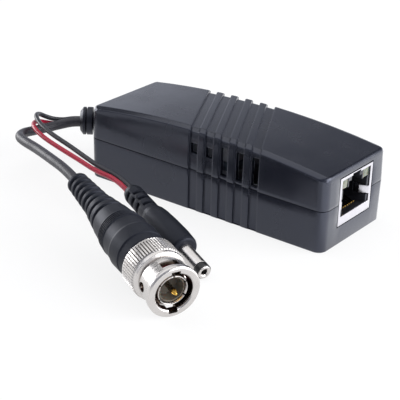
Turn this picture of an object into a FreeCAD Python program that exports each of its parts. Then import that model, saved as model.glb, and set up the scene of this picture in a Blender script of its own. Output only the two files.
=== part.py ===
import FreeCAD, Part
import math
import os
import re
import Sketcher

# Video balun: a two-part case with an RJ45 socket in one end, and a coax lead and a
# pair of power wires that leave the other end for a BNC plug and a small DC plug.
# The frame stands at the middle of the case's underside, +X towards the socket, +Z up.

Vector = FreeCAD.Vector
document = FreeCAD.newDocument("video_balun")

# Driving sizes, in millimetres and degrees
driving = {
    # case
    "case_length": 78.8, "parting_height": 11.75, "roof_over_jack": 1.95,
    "crown_rise": 2.95, "draft_angle": 1.0,
    "corner_radius": 2.6, "top_round": 0.5, "foot_round": 0.5,
    "bevel_across": 1.75, "bevel_down": 0.7,
    "wall": 2.0, "floor_thickness": 2.0,
    "seam_height": 0.3, "seam_depth": 0.35,
    "tongue_inset": 1.45, "tongue_height": 0.7, "tongue_gap": 0.1,
    # grooves and vents
    "groove_count": 5, "groove_pitch": 5.0, "groove_width": 2.7,
    "groove_middle": 7.25, "groove_shift": 15.3, "groove_depth": 0.6,
    "vent_width": 2.4, "short_vent_count": 2,
    "short_vent_above_parting": 4.85, "short_vent_height": 2.9,
    "tall_vent_above_parting": 1.1, "tall_vent_height": 7.9,
    # case screws
    "screw_from_end": 5.8, "screw_radius": 1.1, "screw_clearance": 0.3,
    "screw_head_radius": 2.1, "screw_head_height": 1.4, "screw_pocket_radius": 2.4,
    "screw_pocket_depth": 3.0, "screw_bite": 5.5, "boss_radius": 2.4, "sleeve_wall": 1.0,
    "boss_side_gap": 0.15,
    "cross_width": 0.6, "cross_length": 2.2, "cross_depth": 0.8,
    # circuit board
    "board_end_gap": 0.6, "board_side_gap": 0.55, "board_thickness": 1.6,
    "board_underside": 3.95, "board_notch": 6.9, "post_radius": 2.0,
    "post_from_end": 10.8, "post_from_side": 3.2,
    # RJ45 socket
    "jack_width": 16.0, "jack_height": 13.4, "jack_depth": 21.0, "jack_sheet": 0.3,
    "jack_gap": 0.3, "jack_setback": 0.05, "frame_side": 0.95, "frame_top": 0.8,
    "frame_bottom": 2.45, "insert_gap": 0.1, "insert_setback": 0.35,
    "plug_width": 12.0, "plug_height": 7.3, "plug_depth": 14.0,
    "latch_step_width": 6.6, "latch_step_height": 1.5,
    "latch_width": 4.0, "latch_depth": 7.0,
    "led_width": 3.0, "led_height": 2.6, "led_length": 8.0, "led_edge": 0.25,
    "contact_count": 8, "contact_pitch": 1.02, "contact_width": 0.4,
    "contact_sheet": 0.3, "contact_rise": 2.7, "contact_run": 8.0, "contact_lead": 2.4,
    "tab_height": 2.2, "tab_reach": 1.15, "tab_run": 2.6, "tab_land": 1.2,
    "tab_above_floor": 4.6,
    # parts on the board
    "core_length": 14.0, "core_width": 10.4, "core_headroom": 1.9, "core_slot": 2.8,
    "core_slot_depth": 2.2, "core_x": 1.6, "core_from_side": 5.6,
    "winding_gap": 0.35,
    "inductor_size": 10.0, "inductor_height": 5.2, "inductor_x": 8.0,
    "inductor_from_side": 5.7,
    "inductor_chamfer": 1.6,
    "can_radius": 3.15, "can_height": 11.0, "can_x": -11.0, "can_pitch": 7.6,
    "can_from_side": 4.5, "can_roll": 0.35, "can_rim": 0.5,
    "chip_length": 4.9, "chip_width": 3.9, "chip_height": 1.5, "chip_x": -16.0,
    "chip_from_side": 6.2, "chip_pin_count": 4, "chip_pin_pitch": 1.27, "chip_pin_reach": 1.05,
    "chip_pin_width": 0.4, "chip_pin_sheet": 0.2,
    # strain relief in the cable end of the case
    "exit_y": -0.9, "exit_below_parting": 0.85, "relief_radius": 4.1, "relief_neck_radius": 2.7,
    "relief_wall_radius": 3.0, "relief_wall_gap": 0.05, "relief_inner_gap": 0.15,
    "relief_flange": 1.55,
    "relief_inner_flange": 1.6, "relief_bend_radius": 12.45, "relief_bend_angle": 37.0,
    "relief_rib_radius": 3.7, "relief_rib_width": 0.95, "relief_rib_count": 3,
    "relief_ring_width": 1.7, "relief_ring_gap": 0.3, "relief_nose_radius": 2.9,
    "relief_nose_length": 0.9,
    # cords
    "coax_diameter": 2.8, "wire_diameter": 1.35,
    "coax_aside": -1.2, "coax_lift": 0.0, "coax_lead": 2.2, "coax_tail": 7.0,
    "black_aside": 1.45, "black_lift": 0.1, "black_lead": 2.4,
    "red_aside": 1.2, "red_lift": -1.65, "red_lead": 2.2,
    "wire_spread": 0.85, "wire_tail": 6.5,
    # BNC plug: mouth on the ground, tail held up by the lead
    "bnc_x": 30.58, "bnc_y": -65.11, "bnc_z": 6.8, "bnc_yaw": 155.5, "bnc_tilt": -5.5,
    "lip_radius": 6.8, "lip_length": 1.5, "lip_chamfer": 0.35, "shell_radius": 6.2,
    "shell_end": 6.1, "neck_radius": 5.75, "shoulder_start": 6.9, "shoulder_radius": 6.75,
    "knurl_start": 8.2, "knurl_end": 13.9, "knurl_radius": 7.1, "knurl_depth": 0.22,
    "knurl_count": 60, "knurl_bevel": 0.3, "bore_radius": 4.88, "bore_chamfer": 0.3,
    "bore_end": 7.7, "drum_radius": 5.7, "drum_end": 13.2, "ring_clearance": 0.08,
    "slot_start": 2.5, "slot_length": 2.1, "slot_width": 4.6, "hole_centre": 4.9,
    "hole_radius": 1.15, "lug_width": 2.3, "lug_depth": 0.8,
    "ferrule_front": 0.9, "ferrule_radius": 4.05, "ferrule_tip_radius": 3.8,
    "ferrule_tip_length": 0.6, "ferrule_wall": 0.42, "ferrule_end": 7.9,
    "ferrule_slot_count": 3, "ferrule_slot_width": 0.4, "ferrule_slot_depth": 4.6,
    "flange_start": 9.2, "flange_end": 10.2, "flange_radius": 5.35,
    "spigot_radius": 4.35, "spigot_end": 17.6, "spigot_bore": 2.2,
    "clip_start": 12.1, "clip_end": 12.7, "clip_radius": 5.2,
    "washer_start": 7.75, "washer_end": 9.15, "washer_sheet": 0.25,
    "gasket_start": 4.9, "gasket_radius": 4.7,
    "liner_front": 1.5, "liner_radius": 3.05, "liner_floor": 4.8, "insulator_end": 13.5,
    "pin_tip": -0.8, "pin_radius": 0.68, "pin_tip_radius": 0.25, "pin_taper": 1.1,
    "pin_end": 15.0,
    "tail_end": 56.0, "collar_front": 14.2, "rib_pitch": 2.52, "rib_count": 6,
    "rib_width": 1.6, "rib_depth": 0.75, "rib_last_radius": 2.95, "rib_first_radius": 3.75,
    # DC plug: shoulder on the ground, tail held up by the wires
    "dc_x": 24.43, "dc_y": -45.38, "dc_z": 2.2, "dc_yaw": 158.13, "dc_tilt": -9.73,
    "sleeve_radius": 2.0, "sleeve_bore": 1.65, "sleeve_front": 1.9, "sleeve_end": 14.0,
    "sleeve_heel_radius": 2.55, "sleeve_heel_setback": 0.15,
    "dc_bore": 0.85, "dc_mouth": 1.15, "dc_inner_radius": 1.3, "dc_rim_radius": 1.75,
    "dc_rim_length": 0.3,
    "dc_boot_front": 9.6, "dc_boot_end": 38.44, "dc_relief_radius": 2.75,
    "dc_slot_pitch": 2.7, "dc_slot_width": 1.0, "dc_slot_depth": 1.0, "dc_slot_count": 3,
}

# Sizes worked out from the driving ones
derived = {
    "half_length": "case_length / 2",
    "half_width": "screw_y + boss_radius + boss_side_gap + wall",
    "case_width": "2 * half_width",
    "end_height": "jack_top + roof_over_jack",
    "crown_height": "end_height + crown_rise",
    "crown_radius": "(half_length^2 + crown_rise^2) / (2 * crown_rise)",
    "crown_centre": "crown_height - crown_radius",
    "short_vent_sill": "parting_height + short_vent_above_parting",
    "tall_vent_sill": "parting_height + tall_vent_above_parting",
    "screw_x": "half_length - screw_from_end",
    "screw_y": "jack_half + jack_gap + boss_radius",
    "board_length": "case_length - 2 * (wall + board_end_gap)",
    "board_width": "case_width - 2 * (wall + board_side_gap)",
    "board_top": "board_underside + board_thickness",
    "post_x": "board_length / 2 - post_from_end",
    "post_y": "board_width / 2 - post_from_side",
    "core_y": "core_from_side - board_width / 2",
    "core_height": "crown_height - wall - core_headroom - board_top",
    "inductor_y": "board_width / 2 - inductor_from_side",
    "can_y": "board_width / 2 - can_from_side",
    "chip_y": "chip_from_side - board_width / 2",
    "exit_height": "parting_height - exit_below_parting",
    "jack_front": "half_length - jack_setback",
    "jack_floor": "board_top",
    "jack_half": "jack_width / 2",
    "jack_back": "jack_front - jack_depth",
    "jack_top": "jack_floor + jack_height",
    "insert_front": "jack_front - insert_setback",
    "insert_half": "jack_half - jack_sheet - insert_gap",
    "insert_floor": "jack_floor + jack_sheet + insert_gap",
    "insert_top": "jack_top - jack_sheet - insert_gap",
    "plug_floor": "jack_floor + frame_bottom",
    "plug_top": "plug_floor + plug_height",
    "step_top": "plug_top + latch_step_height",
    "led_top": "jack_top - frame_top - led_edge",
    "led_outer": "jack_half - frame_side - led_edge",
    "relief_ring_pair": "2 * relief_ring_width + relief_ring_gap",
    "relief_start": "half_length + relief_wall_gap + relief_flange",
    "relief_end_x": "-relief_start - relief_bend_radius * sin(relief_bend_angle)",
    "relief_end_y": "exit_y - relief_bend_radius * (1 - cos(relief_bend_angle))",
    "relief_yaw": "180 + relief_bend_angle",
    "nose_x": "relief_end_x + relief_ring_pair * cos(relief_yaw)",
    "nose_y": "relief_end_y + relief_ring_pair * sin(relief_yaw)",
    "collar_radius": "spigot_radius + ring_clearance",
}

sheet = document.addObject("Spreadsheet::Sheet", "sizes")
for row, (name, number) in enumerate(driving.items(), start=1):
    sheet.set(f"A{row}", name)
    sheet.set(f"B{row}", str(number))
    sheet.setAlias(f"B{row}", name)
document.recompute()


def bound(text):
    """An expression in plain size names, written out for the document's engine."""
    def swap(match):
        word = match.group()
        if word in driving:
            return "sizes." + word
        if word in derived:
            return "(" + bound(derived[word]) + ")"
        return word
    return re.sub(r"[a-z][a-z0-9_]*", swap, str(text))


def size(text):
    """The number that an expression in size names comes to."""
    result = sheet.evalExpression(bound(text))
    return float(getattr(result, "Value", result))


def place(item, x, y, z, yaw="0", pitch="0", roll="0"):
    text = f"placement(vector({x}; {y}; {z}); rotation({yaw}; {pitch}; {roll}))"
    item.setExpression("Placement", bound(text))


# Solids from primitives and booleans

def box(name, x, y, z):
    """A box between three pairs of (low, high) expressions."""
    item = document.addObject("Part::Box", name)
    for field, (low, high) in zip(("Length", "Width", "Height"), (x, y, z)):
        item.setExpression(field, bound(f"({high}) - ({low})"))
    place(item, x[0], y[0], z[0])
    return item


def cylinder(name, radius, length, x, y, z, yaw="0", pitch="0"):
    item = document.addObject("Part::Cylinder", name)
    item.setExpression("Radius", bound(radius))
    item.setExpression("Height", bound(length))
    place(item, x, y, z, yaw, pitch)
    return item


def fuse(name, items):
    item = document.addObject("Part::MultiFuse", name)
    item.Shapes = items
    item.Refine = True
    return item


def cut(name, base, tool):
    item = document.addObject("Part::Cut", name)
    item.Base = base
    item.Tool = tool
    item.Refine = True
    return item


def common(name, items):
    item = document.addObject("Part::MultiCommon", name)
    item.Shapes = items
    return item


def group(name, items):
    """Several separate solids kept as one piece."""
    item = document.addObject("Part::Compound", name)
    item.Links = items
    return item


# Bodies from sketches

def origin_feature(body, role):
    return next(item for item in body.Origin.OriginFeatures if item.Role == role)


def draw(body, name, plane, points, offset="0"):
    """A closed outline through points given as pairs of expressions."""
    sketch = body.newObject("Sketcher::SketchObject", name)
    sketch.AttachmentSupport = [(origin_feature(body, plane), "")]
    sketch.MapMode = "FlatFace"
    sketch.setExpression("AttachmentOffset", bound(f"placement(vector(0; 0; {offset}); rotation(0; 0; 0))"))
    corners = [Vector(size(x), size(y), 0) for x, y in points]
    count = len(corners)
    for index in range(count):
        sketch.addGeometry(Part.LineSegment(corners[index], corners[(index + 1) % count]))
    for index in range(count):
        sketch.addConstraint(Sketcher.Constraint("Coincident", index, 2, (index + 1) % count, 1))
    for index, pair in enumerate(points):
        for kind, axis, text in zip(("DistanceX", "DistanceY"), (-2, -1), pair):
            if str(text) == "0":
                sketch.addConstraint(Sketcher.Constraint("PointOnObject", index, 1, axis))
                continue
            entry = sketch.addConstraint(Sketcher.Constraint(kind, -1, 1, index, 1, size(text)))
            label = f"{kind.lower()}_{index}"
            sketch.renameConstraint(entry, label)
            sketch.setExpression("Constraints." + label, bound(text))
    return sketch


def pad(body, name, sketch, length, taper=None, downwards=False, midplane=False):
    feature = body.newObject("PartDesign::Pad", name)
    feature.Profile = sketch
    feature.setExpression("Length", bound(length))
    feature.Midplane = midplane
    feature.Reversed = downwards
    if taper:
        feature.setExpression("TaperAngle", bound(taper))
    body.Tip = feature
    return feature


def pocket(body, name, sketch, length, reverse=False, midplane=False):
    feature = body.newObject("PartDesign::Pocket", name)
    feature.Profile = sketch
    feature.setExpression("Length", bound(length))
    feature.Reversed = reverse
    feature.Midplane = midplane
    body.Tip = feature
    return feature


def repeat_round(body, name, feature, count):
    """Copies of a feature evenly about the body's own X axis."""
    pattern = body.newObject("PartDesign::PolarPattern", name)
    pattern.Originals = [feature]
    pattern.Axis = (origin_feature(body, "X_Axis"), [""])
    pattern.Angle = 360
    pattern.setExpression("Occurrences", bound(count))
    body.Tip = pattern
    return pattern


def round_edges(body, name, radius, test):
    """Fillets the edges of the body's last feature that pass a test."""
    document.recompute()
    base = body.Tip
    edges = [f"Edge{index}" for index, edge in enumerate(base.Shape.Edges, start=1) if test(edge)]
    feature = body.newObject("PartDesign::Fillet", name)
    feature.Base = (base, edges)
    feature.setExpression("Radius", bound(radius))
    body.Tip = feature
    return feature


def turned(name, points):
    """A body turned about its own X axis from (distance along, radius) points."""
    body = document.addObject("PartDesign::Body", name)
    sketch = draw(body, name + "_section", "XY_Plane", points)
    feature = body.newObject("PartDesign::Revolution", name + "_turning")
    feature.Profile = sketch
    feature.ReferenceAxis = (origin_feature(body, "X_Axis"), [""])
    feature.Angle = 360
    body.Tip = feature
    return body


# Case

def is_upright(edge):
    tangent = edge.tangentAt(edge.FirstParameter)
    return abs(tangent.z) > 0.9


def rectangle(half_x, half_y):
    return [(f"-({half_x})", f"-({half_y})"), (half_x, f"-({half_y})"),
            (half_x, half_y), (f"-({half_x})", half_y)]


def crowned_block(name, inset, bottom, top_edge_round=None):
    """The outside of the upper case moved inwards by inset: drafted sides, arched top."""
    body = document.addObject("PartDesign::Body", name)
    outline = draw(body, name + "_outline", "XY_Plane",
                   rectangle(f"half_length - {inset}", f"half_width - {inset}"), bottom)
    pad(body, name + "_walls", outline, f"crown_height - ({bottom}) + 2", "-draft_angle")
    if size(f"corner_radius - {inset}") > 0.3:
        round_edges(body, name + "_corners", f"corner_radius - {inset}", is_upright)
    arch = body.newObject("Sketcher::SketchObject", name + "_arch")
    arch.AttachmentSupport = [(origin_feature(body, "XZ_Plane"), "")]
    arch.MapMode = "FlatFace"
    radius, centre, reach = size(f"crown_radius - {inset}"), size("crown_centre"), size("half_length + 4")
    foot = centre + math.sqrt(radius ** 2 - reach ** 2)
    ceiling = size("crown_height + 6")
    lean = math.asin(reach / radius)
    circle = Part.Circle(Vector(0, centre, 0), Vector(0, 0, 1), radius)
    arch.addGeometry(Part.ArcOfCircle(circle, math.pi / 2 - lean, math.pi / 2 + lean))
    arch.addGeometry(Part.LineSegment(Vector(-reach, foot, 0), Vector(-reach, ceiling, 0)))
    arch.addGeometry(Part.LineSegment(Vector(-reach, ceiling, 0), Vector(reach, ceiling, 0)))
    arch.addGeometry(Part.LineSegment(Vector(reach, ceiling, 0), Vector(reach, foot, 0)))
    for ends in ((0, 2, 1, 1), (1, 2, 2, 1), (2, 2, 3, 1), (3, 2, 0, 1)):
        arch.addConstraint(Sketcher.Constraint("Coincident", *ends))
    arch.addConstraint(Sketcher.Constraint("PointOnObject", 0, 3, -2))
    arch.addConstraint(Sketcher.Constraint("Vertical", 1))
    arch.addConstraint(Sketcher.Constraint("Vertical", 3))
    arch.addConstraint(Sketcher.Constraint("Horizontal", 2))
    for label, constraint, text in (
            ("arch_radius", Sketcher.Constraint("Radius", 0, radius), f"crown_radius - {inset}"),
            ("arch_centre", Sketcher.Constraint("DistanceY", -1, 1, 0, 3, centre), "crown_centre"),
            ("arch_left", Sketcher.Constraint("DistanceX", 1, 1, -1, 1, reach), "half_length + 4"),
            ("arch_right", Sketcher.Constraint("DistanceX", -1, 1, 3, 1, reach), "half_length + 4"),
            ("arch_top", Sketcher.Constraint("DistanceY", -1, 1, 2, 1, ceiling), "crown_height + 6")):
        entry = arch.addConstraint(constraint)
        arch.renameConstraint(entry, label)
        arch.setExpression("Constraints." + label, bound(text))
    pocket(body, name + "_crown", arch, "case_width + 8", midplane=True)
    if top_edge_round:
        document.recompute()
        lofty = [face for face in body.Tip.Shape.Faces
                 if face.Surface.TypeId == "Part::GeomCylinder" and abs(face.Surface.Axis.y) > 0.9]
        rim = [edge.hashCode() for face in lofty for edge in face.Edges]
        round_edges(body, name + "_top_round", top_edge_round, lambda edge: edge.hashCode() in rim)
    return body


def tray_block(name, inset, bottom, top, foot=None):
    """The outside of the lower case moved inwards by inset, between two heights."""
    body = document.addObject("PartDesign::Body", name)
    outline = draw(body, name + "_outline", "XY_Plane",
                   rectangle(f"half_length - {inset}", f"half_width - {inset}"), top)
    pad(body, name + "_walls", outline, f"({top}) - ({bottom})", "-draft_angle", downwards=True)
    if size(f"corner_radius - {inset}") > 0.3:
        round_edges(body, name + "_corners", f"corner_radius - {inset}", is_upright)
    if foot:
        low = size(bottom)
        round_edges(body, name + "_foot_round", foot, lambda edge: edge.BoundBox.ZMax < low + 0.01)
    return body


def groove_bands(name, low, high, width="groove_width", inner=None, first="0", last="groove_count"):
    """One slab for each groove: slanted over the top, or only at the two sides from inner out."""
    slabs = []
    for index in range(int(size(first)), int(size(last))):
        near = f"groove_middle + ({index} - (groove_count - 1) / 2) * groove_pitch"
        far = near + " - groove_shift"
        if inner is None:
            slab = document.addObject("PartDesign::Body", f"{name}_{index}")
            knee = "half_width - groove_depth"
            right = [(f"{near} + {width} / 2", "-case_width"), (f"{near} + {width} / 2", f"-({knee})"),
                     (f"{far} + {width} / 2", knee), (f"{far} + {width} / 2", "case_width")]
            left = [(f"{far} - {width} / 2", "case_width"), (f"{far} - {width} / 2", knee),
                    (f"{near} - {width} / 2", f"-({knee})"), (f"{near} - {width} / 2", "-case_width")]
            outline = draw(slab, f"{name}_{index}_outline", "XY_Plane", right + left, low)
            pad(slab, f"{name}_{index}_slab", outline, f"{high} - ({low})")
            slabs.append(slab)
            continue
        for side, middle, across in (("near", near, ("-case_width", f"-({inner})")),
                                     ("far", far, (inner, "case_width"))):
            along = (f"{middle} - {width} / 2", f"{middle} + {width} / 2")
            slabs.append(box(f"{name}_{side}_{index}", along, across, (low, high)))
    return fuse(name, slabs)


def at_corners(name, radius, length, z):
    """Four upright cylinders at the case screws."""
    items = []
    for index, (side_x, side_y) in enumerate(((1, 1), (1, -1), (-1, 1), (-1, -1))):
        items.append(cylinder(f"{name}_{index}", radius, length,
                              f"{side_x} * screw_x", f"{side_y} * screw_y", z))
    return fuse(name, items)


def socket_opening(name):
    return box(name, ("jack_back - 1", "half_length + 1"),
               ("-(jack_half + jack_gap)", "jack_half + jack_gap"),
               ("jack_floor - jack_gap", "jack_top + jack_gap"))


def relief_notch(name):
    """The round hole for the strain relief, open towards the parting plane."""
    bore = cylinder(name + "_bore", "relief_wall_radius + relief_wall_gap", "wall + 3",
                    "-half_length - 1", "exit_y", "exit_height", pitch="90")
    slot = box(name + "_slot", ("-half_length - 1", "-half_length + wall + 2"),
               ("exit_y - relief_wall_radius - relief_wall_gap",
                "exit_y + relief_wall_radius + relief_wall_gap"),
               ("exit_height", "parting_height"))
    return fuse(name, [bore, slot])


def top_bevels(name, inset):
    """What the bevels along the two long upper edges take off: rings round the arch's axis."""
    wedges = []
    edge, top = f"(half_width - {inset})", f"(crown_radius - {inset})"
    for side, mark in ((-1, "near"), (1, "far")):
        ring = document.addObject("PartDesign::Body", f"{name}_{mark}")
        section = draw(ring, f"{name}_{mark}_section", "YZ_Plane", [
            (f"{side} * ({edge} - bevel_across)", top),
            (f"{side} * ({edge} + bevel_across)", f"{top} - 2 * bevel_down"),
            (f"{side} * ({edge} + bevel_across)", f"{top} + bevel_down"),
            (f"{side} * ({edge} - bevel_across)", f"{top} + bevel_down")])
        sweep = ring.newObject("PartDesign::Revolution", f"{name}_{mark}_sweep")
        sweep.Profile = section
        sweep.ReferenceAxis = (origin_feature(ring, "Y_Axis"), [""])
        sweep.Angle = 60
        sweep.Midplane = True
        ring.Tip = sweep
        ring.setExpression("Placement", bound("placement(vector(0; 0; crown_centre); rotation(0; 0; 0))"))
        wedges.append(ring)
    return fuse(name, wedges)


def make_upper_case():
    base = "parting_height + seam_height"
    outside = cut("upper_outside", crowned_block("upper_outside_blank", "0", base, "top_round"),
                  top_bevels("upper_outside_bevels", "0"))
    recessed = cut("upper_recessed", crowned_block("upper_recessed_blank", "groove_depth", base, "top_round"),
                   top_bevels("upper_recessed_bevels", "groove_depth"))
    bands = groove_bands("upper_bands", "0", "crown_height + 5")
    ribbed = fuse("upper_ribbed", [cut("upper_ribs", outside, bands),
                                   common("upper_troughs", [recessed, bands])])
    seam = tray_block("upper_seam", "(groove_depth + seam_depth)", "parting_height",
                      "parting_height + seam_height")
    hollow = crowned_block("upper_hollow", "wall", "parting_height - 1")
    rebate = tray_block("upper_rebate", "(tongue_inset - tongue_gap)", "parting_height - 1",
                        "parting_height + tongue_height + tongue_gap")
    through = "half_width - wall - 1"
    short = groove_bands("upper_short_vents", "short_vent_sill", "short_vent_sill + short_vent_height",
                         "vent_width", inner=through, last="short_vent_count")
    tall = groove_bands("upper_tall_vents", "tall_vent_sill", "tall_vent_sill + tall_vent_height",
                        "vent_width", inner=through, first="short_vent_count")
    vents = fuse("upper_vents", [short, tall])
    shell = cut("upper_shell", fuse("upper_solid", [ribbed, seam]),
                fuse("upper_openings", [hollow, rebate, vents, socket_opening("upper_socket_opening"),
                                        relief_notch("upper_relief_notch")]))
    posts = at_corners("upper_bosses", "boss_radius", "end_height - 1 - parting_height", "parting_height")
    trimmed = cut("upper_bosses_trimmed", posts, socket_opening("upper_boss_clearance"))
    pilots = at_corners("upper_pilots", "screw_radius", "screw_bite + 1", "parting_height - 0.5")
    return cut("upper_case", fuse("upper_with_bosses", [shell, trimmed]), pilots)


def make_lower_case():
    outside = tray_block("lower_outside", "0", "0", "parting_height", "foot_round")
    recessed = tray_block("lower_recessed", "groove_depth", "0", "parting_height", "foot_round")
    bands = groove_bands("lower_bands", "foot_round + 0.1", "parting_height + 1",
                         inner="half_width - wall")
    ribbed = fuse("lower_ribbed", [cut("lower_ribs", outside, bands),
                                   common("lower_troughs", [recessed, bands])])
    tongue = tray_block("lower_tongue", "tongue_inset", "parting_height - 1",
                        "parting_height + tongue_height")
    hollow = tray_block("lower_hollow", "wall", "floor_thickness",
                        "parting_height + tongue_height + 1")
    tray = cut("lower_tray", fuse("lower_solid", [ribbed, tongue]), hollow)
    sleeves = at_corners("lower_sleeves", "screw_pocket_radius + sleeve_wall",
                         "parting_height - floor_thickness / 2", "floor_thickness / 2")
    posts = []
    for index, (side_x, side_y) in enumerate(((1, 1), (1, -1), (-1, 1), (-1, -1))):
        posts.append(cylinder(f"lower_post_{index}", "post_radius",
                              "board_underside - floor_thickness / 2",
                              f"{side_x} * post_x", f"{side_y} * post_y", "floor_thickness / 2"))
    shanks = at_corners("lower_shank_holes", "screw_radius + screw_clearance", "parting_height + 2", "-1")
    heads = at_corners("lower_head_pockets", "screw_pocket_radius", "screw_pocket_depth + 1", "-1")
    openings = fuse("lower_openings", [socket_opening("lower_socket_opening"),
                                       relief_notch("lower_relief_notch"), shanks, heads])
    return cut("lower_case", fuse("lower_with_bosses", [tray, sleeves] + posts), openings)


def make_screws():
    """Pan-head case screws driven up from the underside."""
    screws = []
    for index, (side_x, side_y) in enumerate(((1, 1), (1, -1), (-1, 1), (-1, -1))):
        body = turned(f"case_screw_{index}_blank", [
            ("0", "0"),
            ("0", "screw_head_radius - 0.4"),
            ("0.4", "screw_head_radius"),
            ("screw_head_height", "screw_head_radius"),
            ("screw_head_height", "screw_radius"),
            ("screw_head_height + parting_height - screw_pocket_depth + screw_bite - 1", "screw_radius"),
            ("screw_head_height + parting_height - screw_pocket_depth + screw_bite", "0"),
        ])
        for turn, (long_side, short_side) in enumerate((("cross_length", "cross_width"),
                                                        ("cross_width", "cross_length"))):
            sketch = draw(body, f"case_screw_{index}_cross_{turn}", "YZ_Plane",
                          rectangle(f"{long_side} / 2", f"{short_side} / 2"))
            pocket(body, f"case_screw_{index}_recess_{turn}", sketch, "cross_depth", reverse=True)
        place(body, f"{side_x} * screw_x", f"{side_y} * screw_y",
              "screw_pocket_depth - screw_head_height", pitch="-90")
        screws.append(body)
    return group("case_screws", screws)


# RJ45 socket

def make_jack_shield():
    """Folded tin-plated box, open below, with a windowed front and two earthing springs."""
    body = document.addObject("PartDesign::Body", "shield_box")
    outline = draw(body, "shield_outline", "YZ_Plane", [
        ("-jack_half", "jack_floor"), ("jack_half", "jack_floor"),
        ("jack_half", "jack_top"), ("-jack_half", "jack_top")], "jack_back")
    pad(body, "shield_sheet", outline, "jack_depth")
    inside = draw(body, "shield_inside", "YZ_Plane", [
        ("-(jack_half - jack_sheet)", "jack_floor + jack_sheet"),
        ("jack_half - jack_sheet", "jack_floor + jack_sheet"),
        ("jack_half - jack_sheet", "jack_top - jack_sheet"),
        ("-(jack_half - jack_sheet)", "jack_top - jack_sheet")], "jack_back - 1")
    pocket(body, "shield_hollow", inside, "jack_depth + 1 - jack_sheet", reverse=True)
    window = draw(body, "shield_window", "YZ_Plane", [
        ("-(jack_half - frame_side)", "plug_floor"),
        ("jack_half - frame_side", "plug_floor"),
        ("jack_half - frame_side", "jack_top - frame_top"),
        ("latch_width / 2", "jack_top - frame_top"),
        ("latch_width / 2", "jack_top - jack_sheet"),
        ("-latch_width / 2", "jack_top - jack_sheet"),
        ("-latch_width / 2", "jack_top - frame_top"),
        ("-(jack_half - frame_side)", "jack_top - frame_top")], "jack_front + 1")
    pocket(body, "shield_front_window", window, "jack_sheet + 1.5")
    springs = []
    for side, mark in ((1, "far"), (-1, "near")):
        spring = document.addObject("PartDesign::Body", f"shield_spring_{mark}")
        root, tip = "jack_half - frame_side + 0.3", "jack_half - frame_side - tab_reach"
        sheet_in = "jack_sheet"
        points = [
            ("jack_front", root), ("jack_front", f"{root} - 0.3 - {sheet_in}"),
            (f"jack_front - tab_run + {sheet_in}", f"{tip} - {sheet_in}"),
            (f"jack_front - tab_run - tab_land", f"{tip} - {sheet_in} + 0.25"),
            (f"jack_front - tab_run - tab_land", f"{tip} + 0.25"),
            (f"jack_front - tab_run", tip),
            (f"jack_front - {sheet_in}", f"{root} - 0.3"),
            (f"jack_front - {sheet_in}", root)]
        section = draw(spring, f"shield_spring_{mark}_section", "XY_Plane",
                       [(x, f"{side} * ({y})") for x, y in points], "jack_floor + tab_above_floor")
        pad(spring, f"shield_spring_{mark}_strip", section, "tab_height")
        springs.append(spring)
    return fuse("rj45_shield", [body] + springs)


def make_jack_insert():
    """Black moulding inside the shield: plug cavity, stepped latch way, two light ways."""
    block = box("insert_block", ("jack_back + 0.2", "insert_front"),
                ("-insert_half", "insert_half"), ("insert_floor", "insert_top"))
    ahead = "jack_front + 1"
    cavity = box("insert_cavity", ("jack_front - plug_depth", ahead),
                 ("-plug_width / 2", "plug_width / 2"), ("plug_floor", "plug_top"))
    step = box("insert_step", ("jack_front - latch_depth", ahead),
               ("-latch_step_width / 2", "latch_step_width / 2"), ("plug_top - 0.1", "step_top"))
    latch = box("insert_latch", ("jack_front - latch_depth", ahead),
                ("-latch_width / 2", "latch_width / 2"), ("step_top - 0.1", "insert_top + 1"))
    tools = [cavity, step, latch]
    for mark, side in (("near", -1), ("far", 1)):
        low, high = sorted((f"{side} * (led_outer - led_width)", f"{side} * led_outer"), key=size)
        tools.append(box(f"insert_light_way_{mark}", ("jack_front - led_length", ahead), (low, high),
                         ("led_top - led_height", "led_top")))
        low, high = sorted((f"{side} * (plug_width / 2 - 0.1)", f"{side} * (insert_half + 1)"), key=size)
        tools.append(box(f"insert_spring_way_{mark}", ("jack_front - tab_run - tab_land - 0.6", ahead),
                         (low, high), ("jack_floor + tab_above_floor - 0.2",
                                       "jack_floor + tab_above_floor + tab_height + 0.2")))
    return cut("rj45_insert", block, fuse("insert_tools", tools))


def make_contacts():
    """Eight gold-plated springs that rise from the cavity floor."""
    strips = []
    for index in range(int(size("contact_count"))):
        body = document.addObject("PartDesign::Body", f"contact_{index}")
        lead = "jack_front - contact_lead"
        heel = "plug_floor + 0.02"
        points = [
            (lead, heel), (lead, f"{heel} + contact_sheet"),
            (f"{lead} - 0.6", f"{heel} + contact_sheet"),
            (f"{lead} - contact_run", f"{heel} + contact_rise + contact_sheet"),
            (f"{lead} - contact_run", f"{heel} + contact_rise"),
            (f"{lead} - 0.6", heel)]
        offset = f"-({index} - (contact_count - 1) / 2) * contact_pitch"
        section = draw(body, f"contact_{index}_section", "XZ_Plane", points, offset)
        pad(body, f"contact_{index}_strip", section, "contact_width", midplane=True)
        strips.append(body)
    return group("rj45_contacts", strips)


def make_led(name, side):
    low, high = sorted((f"{side} * (led_outer - led_width + 0.1)", f"{side} * (led_outer - 0.1)"), key=size)
    return box(name, ("jack_front - led_length + 0.1", "insert_front - 0.1"), (low, high),
               ("led_top - led_height + 0.1", "led_top - 0.1"))


# Circuit board and the parts on it

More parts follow.
